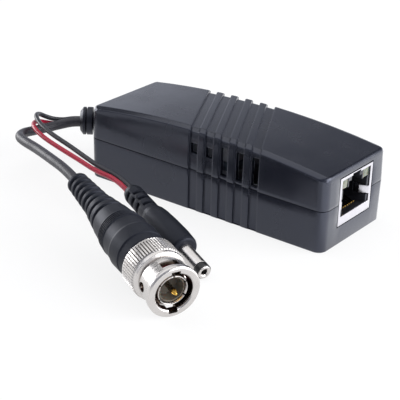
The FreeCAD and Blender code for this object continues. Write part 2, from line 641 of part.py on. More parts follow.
def make_board():
    body = document.addObject("PartDesign::Body", "circuit_board")
    long_half, short_half = "board_length / 2", "board_width / 2"
    notch_x, notch_y = "(board_length / 2 - board_notch)", "(board_width / 2 - board_notch)"
    points = [
        (notch_x, short_half), (f"-{notch_x}", short_half), (f"-{notch_x}", notch_y),
        (f"-({long_half})", notch_y), (f"-({long_half})", f"-{notch_y}"),
        (f"-{notch_x}", f"-{notch_y}"), (f"-{notch_x}", f"-({short_half})"),
        (notch_x, f"-({short_half})"), (notch_x, f"-{notch_y}"), (long_half, f"-{notch_y}"),
        (long_half, notch_y), (notch_x, notch_y)]
    outline = draw(body, "board_outline", "XY_Plane", points, "board_underside")
    pad(body, "board_sheet", outline, "board_thickness")
    return body


def make_transformer():
    """Ferrite core in one piece with a window all round for the winding."""
    low_x, high_x = "core_x - core_length / 2", "core_x + core_length / 2"
    low_y, high_y = "core_y - core_width / 2", "core_y + core_width / 2"
    middle = "board_top + core_height * 0.62"
    ferrite = box("core_ferrite", (low_x, high_x), (low_y, high_y), ("board_top", "board_top + core_height"))
    window = box("core_window", (f"{low_x} - 1", f"{high_x} + 1"), (f"{low_y} - 1", f"{high_y} + 1"),
                 (f"{middle} - core_slot / 2", f"{middle} + core_slot / 2"))
    leg = box("core_leg", (f"{low_x} + core_slot_depth", f"{high_x} - core_slot_depth"),
              (f"{low_y} + core_slot_depth", f"{high_y} - core_slot_depth"),
              ("board_top + 1", "board_top + core_height - 1"))
    core = fuse("transformer_core", [cut("core_flanges", ferrite, window), leg])
    coil = box("coil_block", (f"{low_x} + winding_gap", f"{high_x} - winding_gap"),
               (f"{low_y} + winding_gap", f"{high_y} - winding_gap"),
               (f"{middle} - core_slot / 2", f"{middle} + core_slot / 2"))
    eye = box("coil_eye", (f"{low_x} + core_slot_depth", f"{high_x} - core_slot_depth"),
              (f"{low_y} + core_slot_depth", f"{high_y} - core_slot_depth"),
              ("board_top + 1", "board_top + core_height - 1"))
    return core, cut("transformer_winding", coil, eye)


def make_inductor():
    body = document.addObject("PartDesign::Body", "power_inductor")
    half, corner = "(inductor_size / 2)", "(inductor_size / 2 - inductor_chamfer)"
    corners = [(half, corner), (corner, half), (f"-{corner}", half), (f"-{half}", corner),
               (f"-{half}", f"-{corner}"), (f"-{corner}", f"-{half}"), (corner, f"-{half}"),
               (half, f"-{corner}")]
    points = [(f"inductor_x + {x}", f"inductor_y + {y}") for x, y in corners]
    outline = draw(body, "inductor_outline", "XY_Plane", points, "board_top")
    pad(body, "inductor_block", outline, "inductor_height")
    return body


def make_capacitors():
    """Two electrolytic cans with rolled necks."""
    cans = []
    for index in range(2):
        body = turned(f"capacitor_{index}", [
            ("0", "0"), ("0", "can_radius - can_roll"), ("0.3", "can_radius"),
            ("1.6", "can_radius"), ("1.9", "can_radius - can_roll"), ("2.2", "can_radius"),
            ("can_height - can_roll", "can_radius"), ("can_height", "can_radius - can_roll"),
            ("can_height", "can_radius - can_rim"), ("can_height - 0.15", "can_radius - can_rim"),
            ("can_height - 0.15", "0")])
        place(body, f"can_x - {index} * can_pitch", "can_y", "board_top", pitch="-90")
        cans.append(body)
    return group("capacitors", cans)


def make_regulator():
    """Small-outline chip with gull-wing pins."""
    block = box("chip_block", ("chip_x - chip_length / 2", "chip_x + chip_length / 2"),
                ("chip_y - chip_width / 2", "chip_y + chip_width / 2"),
                ("board_top + 0.15", "board_top + 0.15 + chip_height"))
    pins = []
    for side in (1, -1):
        for index in range(int(size("chip_pin_count"))):
            body = document.addObject("PartDesign::Body", f"chip_pin_{'a' if side > 0 else 'b'}_{index}")
            root = "(chip_width / 2 - 0.1)"
            foot, knee = "(chip_width / 2 + chip_pin_reach)", "(chip_width / 2 + chip_pin_reach / 2)"
            high, low = "(board_top + 0.15 + chip_height / 2)", "board_top"
            points = [(root, high), (root, f"{high} + chip_pin_sheet"), (knee, f"{high} + chip_pin_sheet"),
                      (f"{knee} + chip_pin_sheet", f"{low} + chip_pin_sheet"),
                      (foot, f"{low} + chip_pin_sheet"), (foot, low), (knee, low),
                      (f"{knee} - chip_pin_sheet", high)]
            section = draw(body, f"{body.Name}_section", "YZ_Plane",
                           [(f"chip_y + {side} * ({y})", z) for y, z in points],
                           f"chip_x + ({index} - (chip_pin_count - 1) / 2) * chip_pin_pitch")
            pad(body, f"{body.Name}_strip", section, "chip_pin_width", midplane=True)
            pins.append(body)
    return fuse("regulator_chip", [block] + pins)


# Strain relief

def make_strain_relief():
    """Moulded relief: a flange each side of the wall, a ribbed neck that bends, a nose."""
    inner = cylinder("relief_inside", "relief_radius", "relief_inner_flange",
                     "-half_length + wall + relief_inner_gap", "exit_y", "exit_height", pitch="90")
    waist = cylinder("relief_waist", "relief_wall_radius", "wall + relief_wall_gap + relief_inner_gap + 0.6",
                     "-half_length - relief_wall_gap - 0.3", "exit_y", "exit_height", pitch="90")
    flange = cylinder("relief_outside", "relief_radius", "relief_flange",
                      "-half_length - relief_wall_gap - relief_flange", "exit_y", "exit_height",
                      pitch="90")
    start_x = "-relief_start"
    centre_y = "exit_y - relief_bend_radius"
    neck = document.addObject("Part::Torus", "relief_neck")
    neck.setExpression("Radius1", bound("relief_bend_radius"))
    neck.setExpression("Radius2", bound("relief_neck_radius"))
    neck.setExpression("Angle3", bound("relief_bend_angle"))
    place(neck, start_x, centre_y, "exit_height", yaw="90")
    pieces = [inner, waist, flange, neck]
    for index in range(int(size("relief_rib_count"))):
        lean = f"(({index} + 1) * relief_bend_angle / (relief_rib_count + 1))"
        pieces.append(cylinder(
            f"relief_rib_{index}", "relief_rib_radius", "relief_rib_width",
            f"{start_x} - relief_bend_radius * sin({lean}) + relief_rib_width / 2 * cos({lean})",
            f"{centre_y} + relief_bend_radius * cos({lean}) + relief_rib_width / 2 * sin({lean})",
            "exit_height", yaw=f"180 + {lean}", pitch="90"))
    nose = turned("relief_nose", [
        ("0", "0"), ("0", "relief_radius"),
        ("relief_ring_width", "relief_radius"),
        ("relief_ring_width", "relief_radius - 0.5"),
        ("relief_ring_width + relief_ring_gap", "relief_radius - 0.5"),
        ("relief_ring_width + relief_ring_gap", "relief_radius"),
        ("relief_ring_pair - relief_nose_length", "relief_radius"),
        ("relief_ring_pair", "relief_nose_radius"),
        ("relief_ring_pair", "0")])
    place(nose, "relief_end_x", "relief_end_y", "exit_height", yaw="relief_yaw")
    return fuse("cable_strain_relief", pieces + [nose])


# Cords: straight runs joined by tangent arcs through points chosen by hand

def point_behind(x, y, z, yaw, tilt, distance, aside=0.0, lift=0.0):
    """A point some way along a line that leaves (x, y, z) at a yaw and a tilt."""
    turn, lean = math.radians(yaw), math.radians(tilt)
    return (x + distance * math.cos(turn) * math.cos(lean) + aside * math.sin(turn),
            y + distance * math.sin(turn) * math.cos(lean) - aside * math.cos(turn),
            z - distance * math.sin(lean) + lift)


def leave_case(cord):
    """The first two points: the nose of the strain relief and a short lead from it."""
    return [point_behind(size("nose_x"), size("nose_y"), size("exit_height"), size("relief_yaw"), 0,
                         distance, size(cord + "_aside"), size(cord + "_lift"))
            for distance in (0, size(cord + "_lead"))]


def reach_plug(plug, end, tail, aside=0.0):
    """The last two points: a straight tail and the back face of the plug's boot."""
    return [point_behind(size(plug + "_x"), size(plug + "_y"), size(plug + "_z"), size(plug + "_yaw"),
                         size(plug + "_tilt"), distance, aside)
            for distance in (size(end) + size(tail), size(end))]


coax_route = leave_case("coax") + [
    (-55.10, -11.20, 10.20), (-56.70, -15.00, 9.90), (-57.90, -18.90, 9.90),
    (-58.20, -22.80, 10.30), (-56.20, -26.60, 10.90), (-52.10, -29.10, 11.40),
    (-44.50, -31.80, 12.00), (-35.40, -35.60, 12.60),
] + reach_plug("bnc", "tail_end", "coax_tail")
black_route = leave_case("black") + [
    (-56.10, -7.90, 10.60), (-57.40, -10.80, 11.30), (-58.60, -13.30, 12.60),
    (-59.00, -15.30, 13.90), (-57.90, -17.80, 14.50), (-54.90, -20.20, 14.20),
    (-50.34, -22.40, 13.70), (-44.93, -23.70, 13.00), (-38.89, -24.60, 12.20),
    (-31.64, -26.20, 11.30), (-24.93, -27.60, 10.50),
] + reach_plug("dc", "dc_boot_end", "wire_tail", size("wire_spread"))
red_route = leave_case("red") + [
    (-56.20, -7.20, 8.90), (-58.10, -9.90, 9.40), (-58.90, -13.00, 10.60),
    (-58.60, -16.30, 12.00), (-57.10, -19.80, 12.80), (-53.68, -22.90, 12.90),
    (-48.82, -24.80, 12.30), (-43.60, -26.00, 11.80), (-37.97, -26.90, 11.20),
    (-31.70, -27.80, 10.50), (-24.66, -29.30, 9.90),
] + reach_plug("dc", "dc_boot_end", "wire_tail", -size("wire_spread"))
# an arc takes this share of the shorter of the two runs that it joins
arc_share = 0.45


def make_cord(name, route, diameter_name):
    points = [Vector(*point) for point in route]
    edges, length, smallest, last = [], 0.0, None, points[0]
    for before, here, after in zip(points, points[1:], points[2:]):
        into, out = here - before, after - here
        reach = arc_share * min(into.Length, out.Length)
        turn = into.getAngle(out)
        radius = reach / math.tan(turn / 2)
        smallest = radius if smallest is None else min(smallest, radius)
        into.normalize()
        out.normalize()
        start, end = here - into * reach, here + out * reach
        bisector = out - into
        bisector.normalize()
        middle = here + bisector * (radius / math.cos(turn / 2) - radius)
        edges.append(Part.LineSegment(last, start).toShape())
        edges.append(Part.Arc(start, middle, end).toShape())
        length += (start - last).Length + radius * turn
        last = end
    edges.append(Part.LineSegment(last, points[-1]).toShape())
    length += (points[-1] - last).Length
    radius = size(diameter_name) / 2
    ring = Part.Wire([Part.Circle(points[0], points[1] - points[0], radius).toShape()])
    tube = Part.Wire(edges).makePipeShell([ring], True, False)
    drift = tube.Volume / (math.pi * radius ** 2 * length) - 1
    print(f"{name}: length {length:.1f}, smallest radius {smallest:.1f}, volume off by {drift:.2%}")
    item = document.addObject("Part::Feature", name)
    item.Shape = tube
    return item


# BNC plug, modelled with its mouth at the origin and its tail along +X

def place_bnc(item):
    place(item, "bnc_x", "bnc_y", "bnc_z", "bnc_yaw", "bnc_tilt")
    return item


def make_coupling_ring():
    """Bayonet shell and knurled grip in one turning, with slots and lug ways."""
    body = turned("bnc_coupling_ring", [
        ("0", "bore_radius + bore_chamfer"),
        ("0", "lip_radius - lip_chamfer"), ("lip_chamfer", "lip_radius"),
        ("lip_length", "lip_radius"), ("lip_length + 0.3", "shell_radius"),
        ("shell_end", "shell_radius"), ("shell_end + 0.2", "neck_radius"),
        ("shoulder_start", "neck_radius"), ("shoulder_start + 0.3", "shoulder_radius"),
        ("knurl_start", "shoulder_radius"), ("knurl_start + knurl_bevel", "knurl_radius"),
        ("knurl_end - knurl_bevel", "knurl_radius"),
        ("knurl_end", "knurl_radius - knurl_bevel"), ("knurl_end", "collar_radius"),
        ("drum_end", "collar_radius"), ("drum_end", "drum_radius"),
        ("bore_end", "drum_radius"), ("bore_end", "bore_radius"),
        ("bore_chamfer", "bore_radius")])
    tooth = draw(body, "knurl_tooth", "YZ_Plane", [
        ("knurl_radius - knurl_depth", "0"),
        ("knurl_radius + 0.3", "knurl_radius * 180 / knurl_count * 0.0349 * 0.5 + 0.1"),
        ("knurl_radius + 0.3", "-(knurl_radius * 180 / knurl_count * 0.0349 * 0.5 + 0.1)")],
        "knurl_start")
    repeat_round(body, "knurl", pocket(body, "knurl_groove", tooth, "knurl_end - knurl_start + 1",
                                       reverse=True), "knurl_count")
    ramp = draw(body, "bayonet_slot", "XY_Plane", [
        ("slot_start", "-slot_width / 2"), ("slot_start + slot_length", "-slot_width / 2"),
        ("slot_start + slot_length", "slot_width / 2"), ("slot_start", "slot_width / 2")])
    repeat_round(body, "bayonet_slots", pocket(body, "bayonet_slot_cut", ramp, "lip_radius + 1",
                                               reverse=True), "2")
    way = draw(body, "lug_way", "XY_Plane", [
        ("-1", "-lug_width / 2"), ("slot_start + 0.5", "-lug_width / 2"),
        ("slot_start + 0.5", "lug_width / 2"), ("-1", "lug_width / 2")])
    repeat_round(body, "lug_ways", pocket(body, "lug_way_cut", way, "bore_radius + lug_depth",
                                          reverse=True), "2")
    return body


def make_bayonet_holes():
    """The two round rests for the socket's lugs, a quarter turn from the slots."""
    holes = []
    for index, side in enumerate((1, -1)):
        holes.append(cylinder(f"bayonet_rest_{index}", "hole_radius", "lip_radius + 1",
                              "hole_centre", "0", "0", yaw="90", pitch=f"{side * 90}"))
    return fuse("bayonet_rests", holes)


def make_outer_contact():
    """Slotted ferrule, seat for the ring and spigot that the boot is moulded on."""
    body = turned("bnc_outer_contact", [
        ("ferrule_front", "ferrule_tip_radius - ferrule_wall"),
        ("ferrule_front", "ferrule_tip_radius"),
        ("ferrule_front + ferrule_tip_length", "ferrule_radius"),
        ("ferrule_end", "ferrule_radius"), ("ferrule_end", "spigot_radius"),
        ("flange_start", "spigot_radius"), ("flange_start", "flange_radius"),
        ("flange_end", "flange_radius"), ("flange_end", "spigot_radius"),
        ("spigot_end", "spigot_radius"), ("spigot_end", "spigot_bore"),
        ("insulator_end", "spigot_bore"), ("insulator_end", "ferrule_tip_radius - ferrule_wall")])
    slot = draw(body, "ferrule_slot", "XY_Plane", [
        ("0", "-ferrule_slot_width / 2"),
        ("ferrule_front + ferrule_slot_depth", "-ferrule_slot_width / 2"),
        ("ferrule_front + ferrule_slot_depth", "ferrule_slot_width / 2"),
        ("0", "ferrule_slot_width / 2")])
    repeat_round(body, "ferrule_slots",
                 pocket(body, "ferrule_slot_cut", slot, "2 * ferrule_radius + 2", midplane=True),
                 "ferrule_slot_count")
    return body


def make_bnc_boot():
    """Moulded grip and ribbed strain relief of the BNC plug."""
    points = [
        ("spigot_end", "0"), ("spigot_end", "spigot_radius"),
        ("collar_front", "spigot_radius"), ("collar_front", "5.5"),
        ("collar_front + 0.9", "6.1"), ("17.4", "6.3"), ("17.7", "6.55"), ("21.8", "6.7"),
        ("22.6", "6.45"), ("26.4", "6.15"), ("26.8", "6.35"), ("29.6", "6.05"),
        ("30.0", "5.75"), ("34.6", "5.2"), ("35.0", "4.3"), ("35.6", "4.3"),
        ("35.9", "4.9"), ("37.6", "4.7"), ("37.9", "3.85"), ("38.6", "3.75"),
        ("38.9", "4.4"), ("40.7", "4.2")]
    count = int(size("rib_count"))
    for index in range(count):
        share = f"({index} / (rib_count - 1))"
        crest = f"(rib_first_radius + {share} * (rib_last_radius - rib_first_radius))"
        front = f"tail_end - rib_width - {count - 1 - index} * rib_pitch"
        points += [(f"{front} - 0.9", f"{crest} - rib_depth"), (f"{front} - 0.1", f"{crest} - rib_depth"),
                   (f"{front} + 0.2", crest), (f"{front} + rib_width - 0.25", crest)]
    points += [("tail_end", f"rib_last_radius - rib_depth"), ("tail_end", "0")]
    return turned("bnc_boot", points)


# DC plug, modelled with its tip at the origin and its tail along +X

def place_dc(item):
    place(item, "dc_x", "dc_y", "dc_z", "dc_yaw", "dc_tilt")
    return item


def make_dc_boot():
    """Moulded grip with a slotted strain relief."""
    blank = turned("dc_boot_blank", [
        ("sleeve_end", "0"), ("sleeve_end", "sleeve_heel_radius"),
        ("dc_boot_front + sleeve_heel_setback", "sleeve_heel_radius"),
        ("dc_boot_front + sleeve_heel_setback", "sleeve_radius"),
        ("dc_boot_front", "sleeve_radius"), ("dc_boot_front", "3.2"),
        ("dc_boot_front + 0.25", "3.6"), ("dc_boot_front + 0.9", "3.85"),
        ("dc_boot_front + 4.5", "4.0"), ("19.5", "3.85"), ("23.5", "3.6"), ("25.6", "3.3"),
        ("27.2", "dc_relief_radius"), ("36.9", "dc_relief_radius - 0.1"),
        ("dc_boot_end", "dc_relief_radius - 0.6"), ("dc_boot_end", "0")])
    tools = []
    for turn in range(4):
        for index in range(int(size("dc_slot_count"))):
            start = f"28.4 + {index} * dc_slot_pitch + {turn % 2} * dc_slot_pitch / 2"
            low = "dc_relief_radius - dc_slot_depth"
            across = ("-dc_relief_radius * 0.62", "dc_relief_radius * 0.62")
            spans = {0: ((low, "4"), across), 1: (across, (low, "4")),
                     2: (("-4", f"-({low})"), across), 3: (across, ("-4", f"-({low})"))}[turn]
            tools.append(box(f"dc_slot_{turn}_{index}", (start, f"{start} + dc_slot_width"), *spans))
    return place_dc(cut("dc_plug_boot", blank, fuse("dc_slots", tools)))


def make_dc_contacts():
    sleeve = turned("dc_plug_sleeve", [
        ("sleeve_front", "sleeve_bore"), ("sleeve_front", "sleeve_radius"),
        ("dc_boot_front + sleeve_heel_setback", "sleeve_radius"),
        ("dc_boot_front + sleeve_heel_setback", "sleeve_heel_radius"),
        ("sleeve_end", "sleeve_heel_radius"), ("sleeve_end", "sleeve_bore")])
    tip = turned("dc_plug_insulator", [
        ("0", "dc_inner_radius"), ("0", "sleeve_radius - 0.15"), ("0.15", "sleeve_radius"),
        ("sleeve_front", "sleeve_radius"), ("sleeve_front", "sleeve_bore"),
        ("sleeve_end", "sleeve_bore"), ("sleeve_end", "dc_inner_radius")])
    inner = turned("dc_plug_inner_contact", [
        ("-dc_rim_length", "dc_mouth"), ("-dc_rim_length", "dc_rim_radius - 0.15"),
        ("-dc_rim_length / 2", "dc_rim_radius"), ("0", "dc_rim_radius"),
        ("0", "dc_inner_radius"), ("sleeve_end", "dc_inner_radius"), ("sleeve_end", "0"),
        ("sleeve_end - 1", "0"), ("sleeve_end - 1", "dc_bore"), ("0", "dc_bore")])
    return [place_dc(item) for item in (sleeve, tip, inner)]


# All the pieces by name
pieces = {
    "upper_case": make_upper_case(),
    "lower_case": make_lower_case(),
    "case_screws": make_screws(),
    "rj45_shield": make_jack_shield(),
    "rj45_insert": make_jack_insert(),
    "rj45_contacts": make_contacts(),
    "rj45_led_left": make_led("rj45_led_left", -1),
    "rj45_led_right": make_led("rj45_led_right", 1),
    "circuit_board": make_board(),
    "power_inductor": make_inductor(),
    "capacitors": make_capacitors(),
    "regulator_chip": make_regulator(),
    "cable_strain_relief": make_strain_relief(),
    "coax_cable": make_cord("coax_cable", coax_route, "coax_diameter"),
    "power_wire_black": make_cord("power_wire_black", black_route, "wire_diameter"),
    "power_wire_red": make_cord("power_wire_red", red_route, "wire_diameter"),
    "bnc_outer_contact": place_bnc(make_outer_contact()),
    "bnc_boot": place_bnc(make_bnc_boot()),
    "dc_plug_boot": make_dc_boot(),
}
pieces["transformer_core"], pieces["transformer_winding"] = make_transformer()
pieces["bnc_coupling_ring"] = place_bnc(cut("bnc_ring", make_coupling_ring(), make_bayonet_holes()))
pieces["bnc_gasket"] = place_bnc(turned("bnc_gasket", [
    ("gasket_start", "ferrule_radius"), ("gasket_start", "gasket_radius"),
    ("bore_end - 0.2", "gasket_radius"), ("bore_end - 0.2", "ferrule_radius")]))
pieces["bnc_spring_washer"] = place_bnc(turned("bnc_spring_washer", [
    ("washer_start", "drum_radius - 0.2"), ("washer_start + washer_sheet", "drum_radius - 0.2"),
    ("washer_end", "spigot_radius + 0.15"), ("washer_end - washer_sheet", "spigot_radius + 0.15")]))
pieces["bnc_retaining_clip"] = place_bnc(turned("bnc_retaining_clip", [
    ("clip_start", "spigot_radius"), ("clip_start", "clip_radius"),
    ("clip_end", "clip_radius"), ("clip_end", "spigot_radius")]))
pieces["bnc_insulator"] = place_bnc(turned("bnc_insulator", [
    ("liner_front", "liner_radius"), ("liner_front", "ferrule_tip_radius - ferrule_wall"),
    ("insulator_end", "ferrule_tip_radius - ferrule_wall"), ("insulator_end", "pin_radius"),
    ("liner_floor", "pin_radius"), ("liner_floor", "liner_radius")]))
pieces["bnc_center_pin"] = place_bnc(turned("bnc_center_pin", [
    ("pin_tip", "0"), ("pin_tip", "pin_tip_radius"), ("pin_tip + pin_taper", "pin_radius"),
    ("pin_end", "pin_radius"), ("pin_end", "0")]))
for item in make_dc_contacts():
    pieces[item.Name] = item

document.recompute()
broken = [item.Name for item in document.Objects
          if {"Invalid", "Error"} & set(item.State)]
if broken:
    raise RuntimeError("features that failed: " + ", ".join(broken))

os.makedirs("parts", exist_ok=True)
for name, item in pieces.items():
    item.Label = name
    shape = item.Shape
    if shape.isNull() or not shape.isValid():
        raise RuntimeError(name + " has no valid shape")
    shape.exportStep(f"parts/{name}.step")
    print(f"{name}: {len(shape.Solids)} solid(s), {shape.Volume:.1f} cubic mm")
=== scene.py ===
import math
import bmesh
import bpy
from mathutils import Matrix, Vector


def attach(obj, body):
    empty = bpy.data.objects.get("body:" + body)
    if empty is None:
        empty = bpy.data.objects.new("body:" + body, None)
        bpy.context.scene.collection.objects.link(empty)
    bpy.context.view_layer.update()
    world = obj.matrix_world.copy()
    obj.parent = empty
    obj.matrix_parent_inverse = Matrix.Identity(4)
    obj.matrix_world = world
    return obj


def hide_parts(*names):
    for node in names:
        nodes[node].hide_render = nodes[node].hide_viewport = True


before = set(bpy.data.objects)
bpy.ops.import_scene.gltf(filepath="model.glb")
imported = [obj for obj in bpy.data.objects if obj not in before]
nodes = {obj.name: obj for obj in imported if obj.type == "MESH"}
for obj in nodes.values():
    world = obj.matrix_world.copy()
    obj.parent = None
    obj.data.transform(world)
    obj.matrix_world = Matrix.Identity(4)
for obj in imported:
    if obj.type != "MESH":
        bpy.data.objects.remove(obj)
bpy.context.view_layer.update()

# Video balun on a white table: case with an RJ45 socket, leads to a BNC plug and a DC plug.
# Lengths in the dictionaries are millimetres in the part's own frame.
mm = 0.001
scene = bpy.context.scene
scene.view_settings.view_transform = "Standard"
print("video balun: frame loaded,", len(nodes), "nodes")


# sRGB hex to the linear colour that the shaders want
def toLinear(hexColour):
    channels = [int(hexColour[i:i + 2], 16) / 255 for i in (0, 2, 4)]
    return tuple(c / 12.92 if c <= 0.04045 else ((c + 0.055) / 1.055) ** 2.4 for c in channels) + (1.0,)


# one shader node with its settings; an input is a value, or another node's output to link from
def addNode(tree, kind, inputs=None, **settings):
    node = tree.nodes.new(kind)
    for name, value in settings.items():
        setattr(node, name, value)
    for name, value in (inputs or {}).items():
        if isinstance(value, bpy.types.NodeSocket):
            tree.links.new(value, node.inputs[name])
        else:
            node.inputs[name].default_value = value
    return node


camera = {
    "turn": 36.28, "height": 24.54, "roll": 2.02,      # degrees, worked back from the case's edges
    "spot": (195.97, -281.88, 155.0),
    "lens": 120.74, "sensor": 36, "near": 0.02, "far": 20,      # lens and sensor in mm, the rest in m
}


def makeCamera():
    turn, height, roll = (math.radians(camera[name]) for name in ("turn", "height", "roll"))
    back = Vector((math.sin(turn) * math.cos(height), -math.cos(turn) * math.cos(height), math.sin(height)))
    right = Vector((math.cos(turn), math.sin(turn), 0))
    up = back.cross(right)
    across = right * math.cos(roll) + up * math.sin(roll)
    above = up * math.cos(roll) - right * math.sin(roll)
    data = bpy.data.cameras.new("photoCamera")
    data.lens, data.sensor_width = camera["lens"], camera["sensor"]
    data.clip_start, data.clip_end = camera["near"], camera["far"]
    item = bpy.data.objects.new("photoCamera", data)
    turned = Matrix((across, above, back)).transposed().to_4x4()
    item.matrix_world = Matrix.Translation(Vector(camera["spot"]) * mm) @ turned
    scene.collection.objects.link(item)
    scene.camera = item


makeCamera()
print("camera placed")


# Materials. Each noise scale is one over a real size in metres.

# an empty material, its node tree, and the place on the piece that its patterns are laid out by
def newMaterial(name):
    material = bpy.data.materials.new(name)
    material.use_nodes = True
    tree = material.node_tree
    tree.nodes.clear()
    return material, tree, addNode(tree, "ShaderNodeTexCoord").outputs["Object"]


# two colours clouded by one pattern, and a roughness that follows another
def twoShades(tree, look, clouds, streaks, rougher):
    colour = addNode(tree, "ShaderNodeMix", {
        0: clouds.outputs[0], 6: toLinear(look["colour"]), 7: toLinear(look["shade"])}, data_type="RGBA")
    gloss = addNode(tree, "ShaderNodeMapRange", {
        "Value": streaks.outputs[0], "From Min": 0.3, "From Max": 0.7,
        "To Min": look["roughness"] - 0.04, "To Max": look["roughness"] + rougher})
    return colour, gloss


# closes a material: relief from a pattern, the shader with its inputs, and the output
def closeMaterial(material, pattern, strength, depth, inputs):
    tree = material.node_tree
    bump = addNode(tree, "ShaderNodeBump", {"Height": pattern, "Strength": strength, "Distance": depth * mm})
    shader = addNode(tree, "ShaderNodeBsdfPrincipled", {**inputs, "Normal": bump.outputs[0]})
    addNode(tree, "ShaderNodeOutputMaterial", {"Surface": shader.outputs[0]})
    return material


# one where every test is one
def allOf(tree, tests):
    share = tests[0]
    for test in tests[1:]:
        share = addNode(tree, "ShaderNodeMath", {0: share.outputs[0], 1: test.outputs[0]},
                        operation="MULTIPLY")
    return share


# one where a position lies inside the case's walls, zero on the outside
def insideMask(tree, place, inside):
    axes = addNode(tree, "ShaderNodeSeparateXYZ", {0: place})
    return allOf(tree, [addNode(tree, "ShaderNodeMath", {
        0: axes.outputs[axis], 1: (low + high) / 2 * mm, 2: (high - low) / 2 * mm},
        operation="COMPARE") for axis, (low, high) in zip("XYZ", inside)])


# one where shade is painted on the metal: each test runs along an axis, or by distance from the X axis
def paintedShadeShare(tree, place, tests):
    axes = addNode(tree, "ShaderNodeSeparateXYZ", {0: place})
    across = addNode(tree, "ShaderNodeVectorMath", {0: place, 1: (0.0, 1.0, 1.0)}, operation="MULTIPLY")
    distance = addNode(tree, "ShaderNodeVectorMath", {0: across.outputs[0]}, operation="LENGTH")
    return allOf(tree, [addNode(tree, "ShaderNodeMapRange", {
        "Value": distance.outputs["Value"] if kind == "radius" else axes.outputs[kind],
        "From Min": start * mm, "From Max": end * mm, "To Min": 0.0, "To Max": 1.0})
        for kind, start, end in tests])


# moulded plastic: slow mottling from the flow of the melt, and the mould's spark-eroded grain
def mouldedPlastic(name, look):
    material, tree, place = newMaterial(name)
    flow = addNode(tree, "ShaderNodeTexNoise", {
        "Vector": place, "Scale": 1 / (look["flow"] * mm), "Detail": 3.0})
    grain = addNode(tree, "ShaderNodeTexNoise", {
        "Vector": place, "Scale": 1 / (look["grain"] * mm), "Detail": 2.0})
    colour, gloss = twoShades(tree, look, flow, flow, 0.05)
    # painted light: inside the walls the colour turns pale, standing in for light that reaches into the case
    if "inside" in look:
        mask = insideMask(tree, place, look["inside"])
        colour = addNode(tree, "ShaderNodeMix", {
            0: mask.outputs[0], 6: colour.outputs[2], 7: toLinear(look["insidePaintedLight"])}, data_type="RGBA")
        gloss = addNode(tree, "ShaderNodeMix", {
            0: mask.outputs[0], 2: gloss.outputs[0], 3: look["insideRoughness"]}, data_type="FLOAT")
    return closeMaterial(material, grain.outputs[0], look["relief"], 0.02, {
        "Base Color": colour.outputs[2], "Roughness": gloss.outputs[0], "IOR": look.get("ior", 1.5),
        "Specular Tint": toLinear(look.get("sheen", "FFFFFF")),
        "Subsurface Weight": look.get("translucent", 0.0), "Subsurface Scale": 0.4 * mm})


# plated or bare metal: turning or rolling lines along one axis, and faint clouding of the plate
def platedMetal(name, look):
    material, tree, place = newMaterial(name)
    stretch = addNode(tree, "ShaderNodeMapping", {"Vector": place, "Scale": look["stretch"]})
    lines = addNode(tree, "ShaderNodeTexNoise", {
        "Vector": stretch.outputs[0], "Scale": 1 / (look["line"] * mm), "Detail": 3.0})
    cloud = addNode(tree, "ShaderNodeTexNoise", {
        "Vector": place, "Scale": 1 / (look["cloud"] * mm), "Detail": 2.0})
    colour, gloss = twoShades(tree, look, cloud, lines, 0.06)
    # painted shade: where a mask is one, the metal's colour turns to a darker tint
    for tests, tint in look.get("paintedShade", []):
        share = paintedShadeShare(tree, place, tests)
        colour = addNode(tree, "ShaderNodeMix", {
            0: share.outputs[0], 6: colour.outputs[2], 7: toLinear(tint)}, data_type="RGBA")
    return closeMaterial(material, lines.outputs[0], look["relief"], 0.01, {
        "Base Color": colour.outputs[2], "Metallic": 1.0, "Roughness": gloss.outputs[0]})


